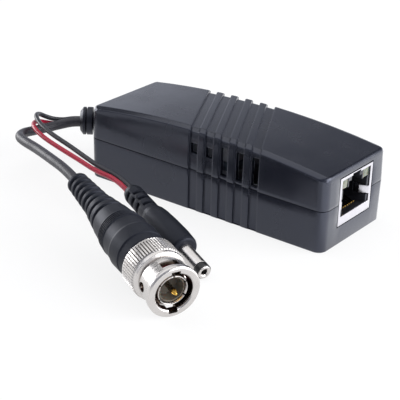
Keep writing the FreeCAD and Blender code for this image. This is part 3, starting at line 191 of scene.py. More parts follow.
coolSheen = "E2E8FF"
plastics = {
    # ABS from a spark-eroded mould: dull blue-grey black with a fine even grain; the inner faces,
    # seen through the vents, come off a rougher core and are matt, and are painted pale as painted light
    # inside the case
    "caseAbs": {
        "sheen": coolSheen, "colour": "1A1C25", "shade": "16181F", "flow": 9.0, "grain": 0.22,
        "relief": 0.25, "roughness": 0.24, "ior": 1.6, "insideRoughness": 0.62,
        "inside": ((-37.6, 37.6), (-13.35, 13.35), (5.0, 20.3)), "insidePaintedLight": "B4B8C2"},
    # PBT socket moulding: blacker and a little duller than the case
    "socketPbt": {
        "sheen": coolSheen, "colour": "131316", "shade": "0E0E10", "flow": 4.0, "grain": 0.12,
        "relief": 0.2, "roughness": 0.36},
    # clear polycarbonate light windows: dark olive grey, with pale spots as painted highlights
    "lampPolycarbonate": {
        "colour": "31352D", "shade": "7E8470", "flow": 0.7, "grain": 0.3, "relief": 0.15,
        "roughness": 0.24, "translucent": 0.2},
    # soft PVC of the strain relief: smooth satin black
    "reliefPvc": {
        "sheen": coolSheen, "colour": "17171C", "shade": "121217", "flow": 5.0, "grain": 0.18,
        "relief": 0.2, "roughness": 0.4},
    # PVC moulded over the plugs: blue-black, with the soft sheen of a blasted mould
    "bootPvc": {
        "sheen": coolSheen, "colour": "15171F", "shade": "101218", "flow": 6.0, "grain": 0.15,
        "relief": 0.3, "roughness": 0.5, "ior": 1.38},
    # extruded PVC jackets: satin, with a slight waviness along the wire
    "coaxJacket": {
        "colour": "302F38", "shade": "26252D", "flow": 3.0, "grain": 0.5, "relief": 0.25,
        "roughness": 0.46},
    "blackJacket": {
        "colour": "2D2E36", "shade": "222329", "flow": 2.0, "grain": 0.4, "relief": 0.2,
        "roughness": 0.4},
    "redJacket": {
        "colour": "B41538", "shade": "980F2E", "flow": 2.0, "grain": 0.4, "relief": 0.2,
        "roughness": 0.32},
    # filled acetal insulator of the BNC plug: grey-brown and slightly see-through
    "plugDielectric": {
        "colour": "6B6358", "shade": "5A5349", "flow": 1.5, "grain": 0.15, "relief": 0.2,
        "roughness": 0.42, "translucent": 0.25},
    # silicone gasket: dark oxide red, matt
    "gasketSilicone": {
        "colour": "6E1A22", "shade": "571219", "flow": 1.0, "grain": 0.12, "relief": 0.3,
        "roughness": 0.55},
    # nylon ring at the DC plug's tip: plain black, crisp
    "tipNylon": {
        "colour": "17171A", "shade": "101013", "flow": 1.5, "grain": 0.1, "relief": 0.15,
        "roughness": 0.4},
    # sintered ferrite: mid grey with a coarse pressed surface
    "sinteredFerrite": {
        "colour": "8C8D94", "shade": "73747A", "flow": 1.2, "grain": 0.25, "relief": 0.7,
        "roughness": 0.6},
    # epoxy moulding compound of the chip: matt charcoal
    "chipEpoxy": {
        "colour": "2A2A2C", "shade": "202022", "flow": 1.0, "grain": 0.08, "relief": 0.4,
        "roughness": 0.55},
}
# nickel plate over turned brass: bright, with faint turning lines
turnedNickel = {
    "colour": "D8D5D3", "shade": "C8C4C2", "cloud": 3.0, "line": 0.35, "stretch": (1, 0.08, 0.08),
    "roughness": 0.27}
metals = {
    "nickelPlate": {**turnedNickel, "relief": 0.12},
    # the ferrule is nickel plated too; behind its bright front it is darkened to brown as painted shade,
    # where it lies inside the coupling ring
    "ferrulePaintedShade": {**turnedNickel, "relief": 0.1, "paintedShade": [([("X", 1.1, 1.4)], "574B44")]},
    # the coupling ring: bright outside, with painted shade in its bore and slots and between the teeth of
    # its knurl
    "ringPlate": {**turnedNickel, "relief": 0.05, "paintedShade": [
        ([("X", 0.5, 0.9), ("radius", 6.05, 5.6)], "66594F"),
        ([("X", 8.2, 8.6), ("X", 13.7, 13.5), ("radius", 7.06, 6.9)], "858381")]},
    # tin plate on folded steel sheet: greyer and softer than nickel
    "tinPlate": {
        "colour": "B8B7BC", "shade": "A8A7AE", "cloud": 2.0, "line": 0.2, "stretch": (1, 1, 0.15),
        "roughness": 0.3, "relief": 0.2},
    # gold flash over nickel: the pin is gold at its tip, and behind it a grey brown painted shade
    "goldTip": {
        "colour": "E9BE62", "shade": "D9A947", "cloud": 1.0, "line": 0.15, "stretch": (0.2, 1, 1),
        "roughness": 0.24, "relief": 0.15, "paintedShade": [([("X", 0.5, 0.9)], "80766C")]},
    # contact springs of the socket: gold at the very tips, dark behind in the socket's shade
    "springPlate": {
        "colour": "F0C878", "shade": "DDAE55", "cloud": 1.0, "line": 0.15, "stretch": (0.2, 1, 1),
        "roughness": 0.25, "relief": 0.15, "paintedShade": [([("X", 36.72, 36.55)], "3B342A")]},
    # zinc-plated screws: greyer, with brushed heads
    "zincPlate": {
        "colour": "B9BCC2", "shade": "9EA1A8", "cloud": 1.0, "line": 0.2, "stretch": (1, 1, 0.3),
        "roughness": 0.32, "relief": 0.3},
    # blued spring steel of the wave washer and the clip: a darker grey
    "springSteel": {
        "colour": "A4A6AC", "shade": "83858C", "cloud": 1.0, "line": 0.2, "stretch": (1, 0.2, 0.2),
        "roughness": 0.3, "relief": 0.2},
}


# glass-epoxy laminate: green solder mask over a weave, with tinned pads on a 2.54 mm grid
def maskedLaminate():
    look = {"mask": "1E5A38", "bare": "2C6E48", "pad": "C9C6BC", "pitch": 2.54, "padShare": 0.22,
            "weave": 0.6, "roughness": 0.32}
    material, tree, place = newMaterial("maskedLaminate")
    cell = addNode(tree, "ShaderNodeTexVoronoi", {
        "Vector": place, "Scale": 1 / (look["pitch"] * mm), "Randomness": 0.0})
    pads = addNode(tree, "ShaderNodeMath", {0: cell.outputs["Distance"], 1: look["padShare"]},
                   operation="LESS_THAN")
    weave = addNode(tree, "ShaderNodeTexWave", {
        "Vector": place, "Scale": 1 / (6 * look["weave"] * mm), "Distortion": 0.4})
    green = addNode(tree, "ShaderNodeMix", {
        0: weave.outputs[1], 6: toLinear(look["mask"]), 7: toLinear(look["bare"])}, data_type="RGBA")
    colour = addNode(tree, "ShaderNodeMix", {
        0: pads.outputs[0], 6: green.outputs[2], 7: toLinear(look["pad"])}, data_type="RGBA")
    return closeMaterial(material, weave.outputs[1], 0.2, 0.02, {
        "Base Color": colour.outputs[2], "Metallic": pads.outputs[0], "Roughness": look["roughness"]})


# polyester tape over the coil: slate blue with the edge of each turn showing as a thin line
def woundTape():
    look = {"tape": "5A6470", "edge": "39414A", "turn": 0.7, "roughness": 0.35}
    material, tree, place = newMaterial("woundTape")
    turns = addNode(tree, "ShaderNodeTexWave", {
        "Vector": place, "Scale": 1 / (6.28 * look["turn"] * mm), "Distortion": 0.2},
        bands_direction="Z", wave_profile="SAW")
    colour = addNode(tree, "ShaderNodeMix", {
        0: turns.outputs[1], 6: toLinear(look["edge"]), 7: toLinear(look["tape"])}, data_type="RGBA")
    return closeMaterial(material, turns.outputs[1], 0.5, 0.05, {
        "Base Color": colour.outputs[2], "Roughness": look["roughness"]})


# shrunk PVC sleeve on the cans: black with a pale stripe at the minus side
def canSleeve():
    look = {"sleeve": "1F2430", "stripe": "A8ADB5", "side": 0.9, "wrinkle": 1.5, "roughness": 0.3}
    material, tree, place = newMaterial("canSleeve")
    shape = addNode(tree, "ShaderNodeNewGeometry")
    facing = addNode(tree, "ShaderNodeVectorMath", {
        0: shape.outputs["Normal"], 1: (0.0, -1.0, 0.0)}, operation="DOT_PRODUCT")
    stripe = addNode(tree, "ShaderNodeMath", {0: facing.outputs["Value"], 1: look["side"]},
                     operation="GREATER_THAN")
    wrinkle = addNode(tree, "ShaderNodeTexNoise", {
        "Vector": place, "Scale": 1 / (look["wrinkle"] * mm), "Detail": 2.0})
    colour = addNode(tree, "ShaderNodeMix", {
        0: stripe.outputs[0], 6: toLinear(look["sleeve"]), 7: toLinear(look["stripe"])}, data_type="RGBA")
    return closeMaterial(material, wrinkle.outputs[0], 0.3, 0.05, {
        "Base Color": colour.outputs[2], "Roughness": look["roughness"]})


finishes = {name: mouldedPlastic(name, look) for name, look in plastics.items()}
finishes.update((name, platedMetal(name, look)) for name, look in metals.items())
finishes.update(maskedLaminate=maskedLaminate(), woundTape=woundTape(), canSleeve=canSleeve())
print("materials made:", len(finishes))


# Piece tools

# puts a finished mesh in the scene: in its place, smooth between soft edges, on its body
def addPiece(name, mesh, finish, replaced, pose=None, body="balun", sharp=35):
    item = bpy.data.objects.new(name, mesh)
    scene.collection.objects.link(item)
    if pose:
        item.matrix_world = pose
    mesh.materials.clear()
    mesh.materials.append(finishes[finish])
    mesh.shade_smooth()
    mesh.set_sharp_from_angle(angle=math.radians(sharp))
    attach(item, body)
    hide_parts(*replaced)


# pose of a plug: its mouth at the spot, its tail away along the local X axis
def plugPose(plug):
    turn, tilt = math.radians(plug["yaw"]), math.radians(plug["tilt"])
    return (Matrix.Translation(Vector(plug["spot"]) * mm) @ Matrix.Rotation(turn, 4, "Z")
            @ Matrix.Rotation(tilt, 4, "Y"))


# corners of a (distance, radius) profile rounded, so that every edge catches the light
def eased(points, radius, steps=3, closed=False):
    leastTurn, mostShare = 0.1, 0.42     # radians, and the share of a side that a round may take
    result = []
    count = len(points)
    for index, here in enumerate(points):
        before, after = Vector(points[index - 1]), Vector(points[(index + 1) % count])
        corner = Vector(here)
        into, out = corner - before, after - corner
        turn = into.angle(out, 0)
        if turn < leastTurn or not closed and index in (0, count - 1):
            result.append(here)
            continue
        reach = min(radius * math.tan(turn / 2), mostShare * into.length, mostShare * out.length)
        start, end = corner - into.normalized() * reach, corner + out.normalized() * reach
        for step in range(steps + 1):
            t = step / steps
            result.append(tuple(start * (1 - t) ** 2 + corner * (2 * t * (1 - t)) + end * t * t))
    return result


# the mesh of a finished shell
def meshOf(shell, mesh=None):
    mesh = mesh or bpy.data.meshes.new("shape")
    shell.to_mesh(mesh)
    shell.free()
    return mesh


# a turned mesh round the X axis; form changes a radius by place and angle, bend moves each point
def turnedMesh(points, segments, closed=False, form=None, bend=None):
    shell = bmesh.new()
    rows = []
    for along, radius in points:
        spots = []
        for step in range(segments if radius else 1):
            angle = 2 * math.pi * step / segments
            here = form(along, radius, angle) if form else radius
            spots.append((along, here * math.cos(angle), here * math.sin(angle)))
        rows.append([shell.verts.new(Vector(bend(spot) if bend else spot) * mm) for spot in spots])
    pairs = list(zip(rows, rows[1:])) + ([(rows[-1], rows[0])] if closed else [])
    for first, second in pairs:
        for step in range(segments):
            following = (step + 1) % segments
            if len(first) == len(second) == 1:
                continue
            if len(first) == 1:
                shell.faces.new((first[0], second[following], second[step]))
            elif len(second) == 1:
                shell.faces.new((first[step], first[following], second[0]))
            else:
                shell.faces.new((first[step], first[following], second[following], second[step]))
    bmesh.ops.recalc_face_normals(shell, faces=shell.faces)
    return meshOf(shell)


# a closed profile turned, with its edges rounded
def turnedRing(look, form=None):
    return turnedMesh(eased(look["profile"], look["edge"], 3, True), look["segments"], True, form)


# a block between two corners, placed by a matrix, to cut with
def blockMesh(low, high, turn=None):
    shell = bmesh.new()
    bmesh.ops.create_cube(shell, size=1)
    for vert in shell.verts:
        spot = Vector([low[i] + (vert.co[i] + 0.5) * (high[i] - low[i]) for i in range(3)]) * mm
        vert.co = turn @ spot if turn else spot
    return meshOf(shell)


# a rod along X from one distance to another, placed by a matrix, to cut or join with
def rodMesh(start, end, radius, turn, segments=48):
    mesh = turnedMesh([(start, 0), (start, radius), (end, radius), (end, 0)], segments)
    mesh.transform(turn)
    return mesh


# cuts tools out of a mesh, or joins them to it; they share its coordinates
def shaped(mesh, tools, operation="DIFFERENCE"):
    item = bpy.data.objects.new("work", mesh)
    helpers = [bpy.data.objects.new("tool", tool) for tool in tools]
    for helper in [item] + helpers:
        scene.collection.objects.link(helper)
    for helper in helpers:
        change = item.modifiers.new("change", "BOOLEAN")
        change.object, change.operation, change.solver = helper, operation, "EXACT"
    bpy.context.view_layer.update()
    result = bpy.data.meshes.new_from_object(item.evaluated_get(bpy.context.evaluated_depsgraph_get()))
    for helper in helpers + [item]:
        bpy.data.objects.remove(helper)
    return result


# sharp edges of a mesh rounded by a small width
def edgesRounded(mesh, width, angle=50):
    shell = bmesh.new()
    shell.from_mesh(mesh)
    bmesh.ops.remove_doubles(shell, verts=shell.verts, dist=0.0005 * mm)
    sharp = [edge for edge in shell.edges
             if len(edge.link_faces) == 2 and edge.calc_face_angle(0) > math.radians(angle)]
    bmesh.ops.bevel(shell, geom=sharp, offset=width * mm, segments=2, profile=0.5,
                    affect="EDGES", clamp_overlap=False)
    return meshOf(shell, mesh)


# a CAD node's own shape with flat faces made whole and its edges rounded
def finerNode(nodeName, width):
    mesh = nodes[nodeName].data.copy()
    shell = bmesh.new()
    shell.from_mesh(mesh)
    bmesh.ops.remove_doubles(shell, verts=shell.verts, dist=0.001 * mm)
    bmesh.ops.dissolve_limit(shell, angle_limit=math.radians(0.5), verts=shell.verts, edges=shell.edges)
    return edgesRounded(meshOf(shell, mesh), width, 30)


# Cords: each route is the points that the lead follows from the case to its plug
cords = {
    "coax_cable": {
        "diameter": 2.8, "length": 62.0, "farEnd": "connector", "stiffness": "medium", "plug": "bnc",
        "finish": "coaxJacket", "slot": "coax_jacket",
        "route": [(-50.73, -6.59, 10.9), (-52.48, -7.92, 10.9), (-55.1, -11.2, 10.2), (-56.7, -15.0, 9.9),
                  (-57.9, -18.9, 9.9), (-58.2, -22.8, 10.3), (-56.2, -26.6, 10.9), (-52.1, -29.1, 11.4),
                  (-44.5, -31.8, 12.0), (-35.4, -35.6, 12.6), (-26.48, -39.1, 12.84),
                  (-20.14, -41.99, 12.17)]},
    "power_wire_black": {
        "diameter": 1.35, "length": 66.5, "farEnd": "plug", "stiffness": "limp", "plug": "dc",
        "finish": "blackJacket", "slot": "black_jacket",
        "route": [(-52.32, -4.48, 11.0), (-54.24, -5.92, 11.0), (-56.1, -7.9, 10.6), (-57.4, -10.8, 11.3),
                  (-58.6, -13.3, 12.6), (-59.0, -15.3, 13.9), (-57.9, -17.8, 14.5), (-54.9, -20.2, 14.2),
                  (-50.34, -22.4, 13.7), (-44.93, -23.7, 13.0), (-38.89, -24.6, 12.2),
                  (-31.64, -26.2, 11.3), (-24.93, -27.6, 10.5), (-16.36, -28.09, 9.8),
                  (-10.41, -30.48, 8.7)]},
    "power_wire_red": {
        "diameter": 1.35, "length": 67.4, "farEnd": "plug", "stiffness": "limp", "plug": "dc",
        "finish": "redJacket", "slot": "red_jacket",
        "route": [(-52.17, -4.68, 9.25), (-53.93, -6.0, 9.25), (-56.2, -7.2, 8.9), (-58.1, -9.9, 9.4),
                  (-58.9, -13.0, 10.6), (-58.6, -16.3, 12.0), (-57.1, -19.8, 12.8), (-53.68, -22.9, 12.9),
                  (-48.82, -24.8, 12.3), (-43.6, -26.0, 11.8), (-37.97, -26.9, 11.2), (-31.7, -27.8, 10.5),
                  (-24.66, -29.3, 9.9), (-16.99, -29.67, 9.8), (-11.05, -32.06, 8.7)]},
}


def makeCord(name, cord):
    curve = bpy.data.curves.new(name, "CURVE")
    curve.dimensions = "3D"
    curve.bevel_depth = cord["diameter"] / 2 * mm
    curve.bevel_resolution = 7
    curve.resolution_u = 16
    curve.use_fill_caps = True
    line = curve.splines.new("NURBS")
    line.points.add(len(cord["route"]) - 1)
    for point, spot in zip(line.points, cord["route"]):
        point.co = (*(value * mm for value in spot), 1.0)
    line.order_u = 3
    line.use_endpoint_u = True
    item = bpy.data.objects.new(name + "_lead", curve)
    scene.collection.objects.link(item)
    curve.materials.append(finishes[cord["finish"]])
    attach(item, "balun")
    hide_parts(name)


for cordName, cord in cords.items():
    makeCord(cordName, cord)
print("cords laid")


# Case: each half is one sheet of rows round the outline, from the outside over the rim to the inside
case = {
    "halfLength": 39.4, "halfWidth": 15.25, "corner": 2.6, "leastCorner": 0.12, "cornerSteps": 8,
    "draft": 1.0, "draftFrom": 12.05, "parting": 11.75, "crown": 23.85, "crownRadius": 264.6,
    "footRound": 0.4, "wall": 2.0, "floor": 2.0,
    # the bevel's upper edge, its slope, and the rounds under it on the sides and at the ends
    "bevelAt": 13.5, "bevelSlope": 0.4, "sideRound": 0.25, "endRound": 0.8,
    # lines close beside the bevel's two edges, which keep both crisp and the faces between flat
    "bevelLines": (3.0, 0.35, 0.08, -0.08, -0.4),
    "seamHeight": 0.15, "seamInset": 0.95, "tongueInset": 1.45, "tongueHeight": 0.7, "tongueGap": 0.1,
    "grooveMiddle": 7.25, "groovePitch": 5.0, "grooveWidth": 2.7, "grooveDepth": 0.6, "grooveShift": 15.3,
    "ventWidth": 2.4, "tallSill": 12.85, "tallHead": 20.75, "shortSill": 16.6, "shortHead": 19.5,
    "shortVents": 2,
    # rows above a height that the case doesn't reach at its ends crowd under the crown there
    "crowdFrom": 21.1, "crowdPitch": 0.3, "crowdUnder": 0.9,
    "socketHalf": 8.3, "socketLow": 5.25, "socketHead": 19.25, "socketFrom": 30.0, "slack": 0.01,
    "wallRow": 8.6,
    "reliefY": -0.9, "reliefZ": 10.9, "reliefHole": 3.05, "reliefFrom": -41.0, "reliefTo": -36.8,
    "screwX": 33.6, "screwY": 10.7, "boss": 2.4, "bossTop": 19.85, "pilot": 1.1, "pilotLow": 11.0,
    "pilotTop": 17.25, "shank": 1.4, "pocket": 2.4, "pocketDepth": 3.0, "sleeve": 3.4,
    "postX": 26.0, "postY": 9.5, "post": 2.0, "postTop": 3.95,
    "root": 1.0, "cutLow": -1.0, "cutHigh": 13.0, "edge": 0.07,
}
grooveCentres = [case["grooveMiddle"] + (index - 2) * case["groovePitch"] for index in range(5)]
# a groove's edge: distance past the edge line, and share of the full depth there; a shallow lip
# comes first, which shows as the fine light line along each ridge
grooveEdge = [(-0.44, 0.0), (-0.4, 0.0), (-0.35, 0.012), (-0.06, 0.125), (-0.02, 0.22), (0.0, 0.42),
              (0.03, 0.85), (0.06, 0.96), (0.1, 1.0)]
# lines along the plain skin, by distance along a side and across the top; the last is the sides' end
plainStations = [-36.3, -33, -29, -25, -21, -17, -13, -9, -5.8, 22, 25.5, 29, 32.7, 36.3]
acrossLines = [-10.4, -8.3, -5.6, -2.6, 0.0, 2.6, 5.6, 8.3, 10.4]
quarterTurns = [math.radians(90 - 22.5 * step) for step in range(5)]
draftSlope = math.tan(math.radians(case["draft"]))


def crownAt(x):
    return case["crown"] - x * x / (2 * case["crownRadius"])


def grooveShare(x):
    for centre in grooveCentres:
        past = case["grooveWidth"] / 2 - abs(x - centre)
        if past <= grooveEdge[0][0]:
            continue
        for (low, lowShare), (high, highShare) in zip(grooveEdge, grooveEdge[1:]):
            if past <= high:
                return lowShare + (highShare - lowShare) * (past - low) / (high - low)
        return 1.0
    return 0.0


# stations along a long side: the spot on the near side with its fellow on the far side, where
# the grooves arrive shifted
def sideStations():
    stations = set(plainStations)
    for centre in grooveCentres:
        for side in (-1, 1):
            stations.update(round(centre + side * (case["grooveWidth"] / 2 - past), 4)
                            for past, share in grooveEdge)
            stations.add(round(centre + side * case["ventWidth"] / 2, 4))
        stations.add(round(centre, 4))
    reach = case["grooveWidth"] / 2 + 0.5
    first, last = grooveCentres[0] - reach, grooveCentres[-1] + reach
    end, shift = plainStations[-1], case["grooveShift"]
    pairs = []
    for near in sorted(stations):
        if near < first:
            far = -end + (near + end) * (first - shift + end) / (first + end)
        elif near > last:
            far = end - (end - near) * (end - last + shift) / (end - last)
        else:
            far = near - shift
        pairs.append((near, far))
    return pairs


# places round the outline in order, starting on the near long side; each on a long side has its
# pair of stations
def outlinePlaces():
    pairs, steps = sideStations(), case["cornerSteps"]
    places = []

    def addPlaces(kind, side, values, pairs=None):
        places.extend({"kind": kind, "side": side, "value": value, "pair": pair}
                      for value, pair in zip(values, pairs or [None] * len(values)))

    def addCorner(start, side):
        addPlaces("corner", side, [start + 90 * step / steps for step in range(steps + 1)])

    addPlaces("side", -1, [near for near, far in pairs], pairs)
    addCorner(-90, (1, -1))
    addPlaces("end", 1, acrossLines)
    addCorner(0, (1, 1))
    addPlaces("side", 1, [far for near, far in pairs[::-1]], pairs[::-1])
    addCorner(90, (-1, 1))
    addPlaces("end", -1, acrossLines[::-1])
    addCorner(180, (-1, -1))
    return places


# where a slanted line over the top is at a distance across
def slanted(pair, y):
    knee = case["halfWidth"] - case["grooveDepth"]
    way = (max(-knee, min(knee, y)) + knee) / (2 * knee)
    return pair[0] + (pair[1] - pair[0]) * way


# radius under the top edge: small on the sides, larger at the ends, blended round the corners
def edgeRadius(place):
    blend = 1.0 if place["kind"] == "end" else 0.0
    if place["kind"] == "corner":
        blend = abs(math.cos(math.radians(place["value"])))
    return case["sideRound"] + (case["endRound"] - case["sideRound"]) * blend


# height of the arched and bevelled top
def topAt(x, y, sunk=0.0):
    rise = max(0.0, abs(y) - case["bevelAt"] + sunk)
    return crownAt(x) - sunk - rise * case["bevelSlope"]


# how deep the top lies in a groove at a pair of stations; the corners have no pair and no groove
def sunkAt(pair):
    return case["grooveDepth"] * grooveShare(pair[0]) if pair else 0


# one level, for a row or a cap
def flat(level):
    return lambda x, y, sunk=0.0: level


# spot of a place on the outline, some way in from the wall, which leans by the draft
def outlineSpot(place, inset, lean, share, isTop=False):
    side, value = place["side"], place["value"]
    length, width, corner = case["halfLength"] - lean, case["halfWidth"] - lean, case["corner"]
    if place["kind"] == "side":
        y = side * (width - inset - share * case["grooveDepth"] * grooveShare(place["pair"][0]))
        return slanted(place["pair"], y) if isTop else value, y
    if place["kind"] == "end":
        return side * (length - inset), value
    turn, radius = math.radians(value), max(corner - inset, case["leastCorner"])
    along, across = length - inset - radius, width - inset - radius
    if inset <= corner - case["leastCorner"]:
        along, across = max(length - corner, along), max(width - corner, across)
    return side[0] * along + radius * math.cos(turn), side[1] * across + radius * math.sin(turn)


# builds one half from rows of (name, turn round the top edge or none, inset, groove share, height)
def caseSheet(rows, leanAt, capHeights, ventRows, socketRows, paired):
    places = outlinePlaces()
    count = len(places)
    shell = bmesh.new()
    grid = {}

    def addVert(x, y, z):
        return shell.verts.new(Vector((x, y, z)) * mm)

    def addFace(*cells):
        shell.faces.new([grid[cell] for cell in cells])

    for row, (label, turn, inset, share, height) in enumerate(rows):
        for column, place in enumerate(places):
            if turn is None:
                z = height(*outlineSpot(place, inset, 0, share))
                x, y = outlineSpot(place, inset, leanAt(z), share)
            else:
                radius = edgeRadius(place)
                x, y = outlineSpot(place, radius * (1 - math.cos(turn)), leanAt(crownAt(0)), share, True)
                z = topAt(x, y, sunkAt(place["pair"])) - radius * (1 - math.sin(turn))
            grid[row, column] = addVert(x, y, z)
    ventColumns = {}
    for column, (one, two) in enumerate(zip(places, places[1:])):
        if one["pair"] and two["pair"]:
            middle = (one["pair"][0] + two["pair"][0]) / 2
            for index, centre in enumerate(grooveCentres):
                if abs(middle - centre) < case["ventWidth"] / 2:
                    ventColumns[column] = "short" if index < case["shortVents"] else "tall"
    socketColumns = [column for column, place in enumerate(places) if place["kind"] == "end"
                     and place["side"] == 1 and abs(place["value"]) < case["socketHalf"] + case["slack"]]

    def isVent(row, column):
        return any(first <= row < last for first, last in ventRows.get(ventColumns.get(column), ()))

    first, last = socketRows
    gone = {(row, column) for row in range(len(rows) - 1) for column in range(count)
            if isVent(row, column) or first <= row < last and column in socketColumns[:-1]}
    for row in range(len(rows) - 1):
        for column in range(count):
            if (row, column) not in gone:
                following = (column + 1) % count
                addFace((row, column), (row, following), (row + 1, following), (row + 1, column))
    # reveals of the vents: each open edge outside meets its pair inside
    for row, column in [cell for cell in gone if isVent(*cell) and cell[0] in paired]:
        for (rowA, columnA), (rowB, columnB), beyond in (
                ((row, column), (row, column + 1), (row - 1, column)),
                ((row + 1, column), (row + 1, column + 1), (row + 1, column)),
                ((row, column), (row + 1, column), (row, column - 1)),
                ((row, column + 1), (row + 1, column + 1), (row, column + 1))):
            if beyond not in gone:
                addFace((rowA, columnA), (rowB, columnB), (paired[rowB], columnB), (paired[rowA], columnA))
    # reveals of the socket's opening: two flat jambs and the head or sill
    for column in (socketColumns[0], socketColumns[-1]):
        addFace(*((row, column) for row in range(first, last + 1)))
    for column in socketColumns[:-1]:
        addFace((first, column), (first, column + 1), (last, column + 1), (last, column))
    # caps: each line runs from a column on the near side to its fellow on the far side, from the
    # cable end to the socket's end
    start = count - case["cornerSteps"] - 1
    fellow = start - len(acrossLines) - 1
    order = [((start + step) % count, fellow - step) for step in range(count // 2 - len(acrossLines))]
    for row, capHeight in zip((0, len(rows) - 1), capHeights):
        isTop = rows[row][1] is not None
        lines = []
        for index, (one, two) in enumerate(order):
            near, far, pair = grid[row, one], grid[row, two], places[one]["pair"]
            sunk, limit = sunkAt(pair) if isTop else 0, abs(near.co.y / mm) - 0.1
            edges = [min(case["bevelAt"] - sunk + step, limit) for step in case["bevelLines"]]
            if index in (0, len(order) - 1):
                columns = range(one + 1, two) if index else range(one - 1, two, -1)
                middle = [grid[row, column] for column in columns]
                middle = [near] * len(edges) + middle + [far] * len(edges)
            else:
                middle = []
                for y in [-edge for edge in edges] + acrossLines + edges[::-1]:
                    x = slanted(pair, y) if pair else near.co.x / mm
                    middle.append(addVert(x, y, capHeight(x, y, sunk)))
            lines.append([near] + middle + [far])
        for lineA, lineB in zip(lines, lines[1:]):
            for step in range(len(lineA) - 1):
                corners = list(dict.fromkeys((lineA[step], lineB[step], lineB[step + 1], lineA[step + 1])))
                if len(corners) > 2:
                    shell.faces.new(corners)
    bmesh.ops.remove_doubles(shell, verts=shell.verts, dist=0.0001 * mm)
    bmesh.ops.recalc_face_normals(shell, faces=shell.faces)
    return meshOf(shell)


def upperCaseMesh():
    c = case
    names = ["tallHead", "shortHead", "socketHead", "shortSill", "tallSill"]
    rim, seam = flat(c["parting"]), flat(c["parting"] + c["seamHeight"])
    lip = c["tongueInset"] - c["tongueGap"]
    rebate = flat(c["parting"] + c["tongueHeight"] + c["tongueGap"])

    def crowded(label, under):
        spread = (c["crowdFrom"] - c[label]) * c["crowdPitch"]
        return lambda x, y: min(c[label], crownAt(x) - under - spread)

    def ceiling(x, y, sunk=0.0):
        height = crownAt(x) - c["wall"]
        overSocket = abs(y) < c["socketHalf"] + c["slack"] and x > c["socketFrom"]
        return max(height, c["socketHead"]) if overSocket else height

    rows = [("top", turn, 0, 1, None) for turn in quarterTurns]
    rows += [(label, None, 0, 1, crowded(label, c["crowdUnder"])) for label in names]
    rows += [("edge", None, 0, 1, seam), ("seam", None, c["seamInset"], 0, seam),
             ("seam", None, c["seamInset"], 0, rim), ("lip", None, lip, 0, rim),
             ("rebate", None, lip, 0, rebate), ("rebate", None, c["wall"], 0, rebate)]
    rows += [("inner" + label, None, c["wall"], 0, crowded(label, c["wall"])) for label in names[::-1]]
    rows.append(("ceiling", None, c["wall"], 0, ceiling))
    at = {row[0]: index for index, row in enumerate(rows)}
    vents = {size: [(at[size + "Head"], at[size + "Sill"]),
                    (at["inner" + size + "Sill"], at["inner" + size + "Head"])]
             for size in ("short", "tall")}
    return caseSheet(rows, lambda z: draftSlope * (max(z, c["draftFrom"]) - c["draftFrom"]),
                     (topAt, ceiling), vents, (at["socketHead"], len(rows) - 1),
                     {at[label]: at["inner" + label] for label in names})


def lowerCaseMesh():
    c, foot = case, case["footRound"]
    rim, tongue = flat(c["parting"]), flat(c["parting"] + c["tongueHeight"])
    rows = []
    # the grooves run out into the foot's round, whose own edge is as deep as they are
    for turn in quarterTurns:
        inset, height = foot * (1 - math.cos(turn)), foot * (1 - math.sin(turn))
        share = (foot - inset + (c["grooveDepth"] - foot) * height / foot) / c["grooveDepth"]
        rows.append(("foot", None, inset, share, flat(height)))
    rows += [("socket", None, 0, 1, flat(c["socketLow"])), ("wall", None, 0, 1, flat(c["wallRow"])),
             ("edge", None, 0, 1, rim), ("rim", None, c["tongueInset"], 0, rim),
             ("tongue", None, c["tongueInset"], 0, tongue), ("tongue", None, c["wall"], 0, tongue),
             ("inner", None, c["wall"], 0, flat(c["wallRow"])),
             ("innerSocket", None, c["wall"], 0, flat(c["socketLow"])),
             ("floor", None, c["wall"], 0, flat(c["floor"]))]
    at = {row[0]: index for index, row in enumerate(rows)}
    return caseSheet(rows, lambda z: draftSlope * (c["parting"] - min(z, c["parting"])),
                     (flat(0.0), flat(c["floor"])), {}, (at["socket"], at["innerSocket"]), {})


# upright rods at the four places of the screws or the posts
def uprights(kind, start, end, radius):
    return [rodMesh(start, end, radius, Matrix.Translation(Vector((x, y, 0)) * mm)
                    @ Matrix.Rotation(math.radians(-90), 4, "Y"))
            for x in (-case[kind + "X"], case[kind + "X"]) for y in (-case[kind + "Y"], case[kind + "Y"])]


def makeCase():
    c = case
    parting, slack, hole = c["parting"], c["slack"], c["reliefHole"]

    def reliefHole():
        spot = Vector((0, c["reliefY"], c["reliefZ"])) * mm
        return rodMesh(c["reliefFrom"], c["reliefTo"], hole, Matrix.Translation(spot), 64)

    upper = edgesRounded(upperCaseMesh(), c["edge"])
    upper = shaped(upper, uprights("screw", parting + slack, c["bossTop"], c["boss"]), "UNION")
    upper = shaped(upper, [reliefHole()] + uprights("screw", c["pilotLow"], c["pilotTop"], c["pilot"]))
    addPiece("upper_case_shell", upper, "caseAbs", ["upper_case"])
    lower = edgesRounded(lowerCaseMesh(), c["edge"])
    lower = shaped(lower, uprights("post", c["root"], c["postTop"], c["post"])
                   + uprights("screw", c["root"], parting - slack, c["sleeve"]), "UNION")
    slot = blockMesh((c["reliefFrom"], c["reliefY"] - hole, c["reliefZ"]),
                     (c["reliefTo"], c["reliefY"] + hole, c["cutHigh"]))
    lower = shaped(lower, [reliefHole(), slot] + uprights("screw", c["cutLow"], c["cutHigh"], c["shank"])
                   + uprights("screw", c["cutLow"], c["pocketDepth"], c["pocket"]))
    addPiece("lower_case_tray", lower, "caseAbs", ["lower_case"])


makeCase()
addPiece("case_screw_set", finerNode("case_screws", 0.08), "zincPlate", ["case_screws"])
print("case moulded")


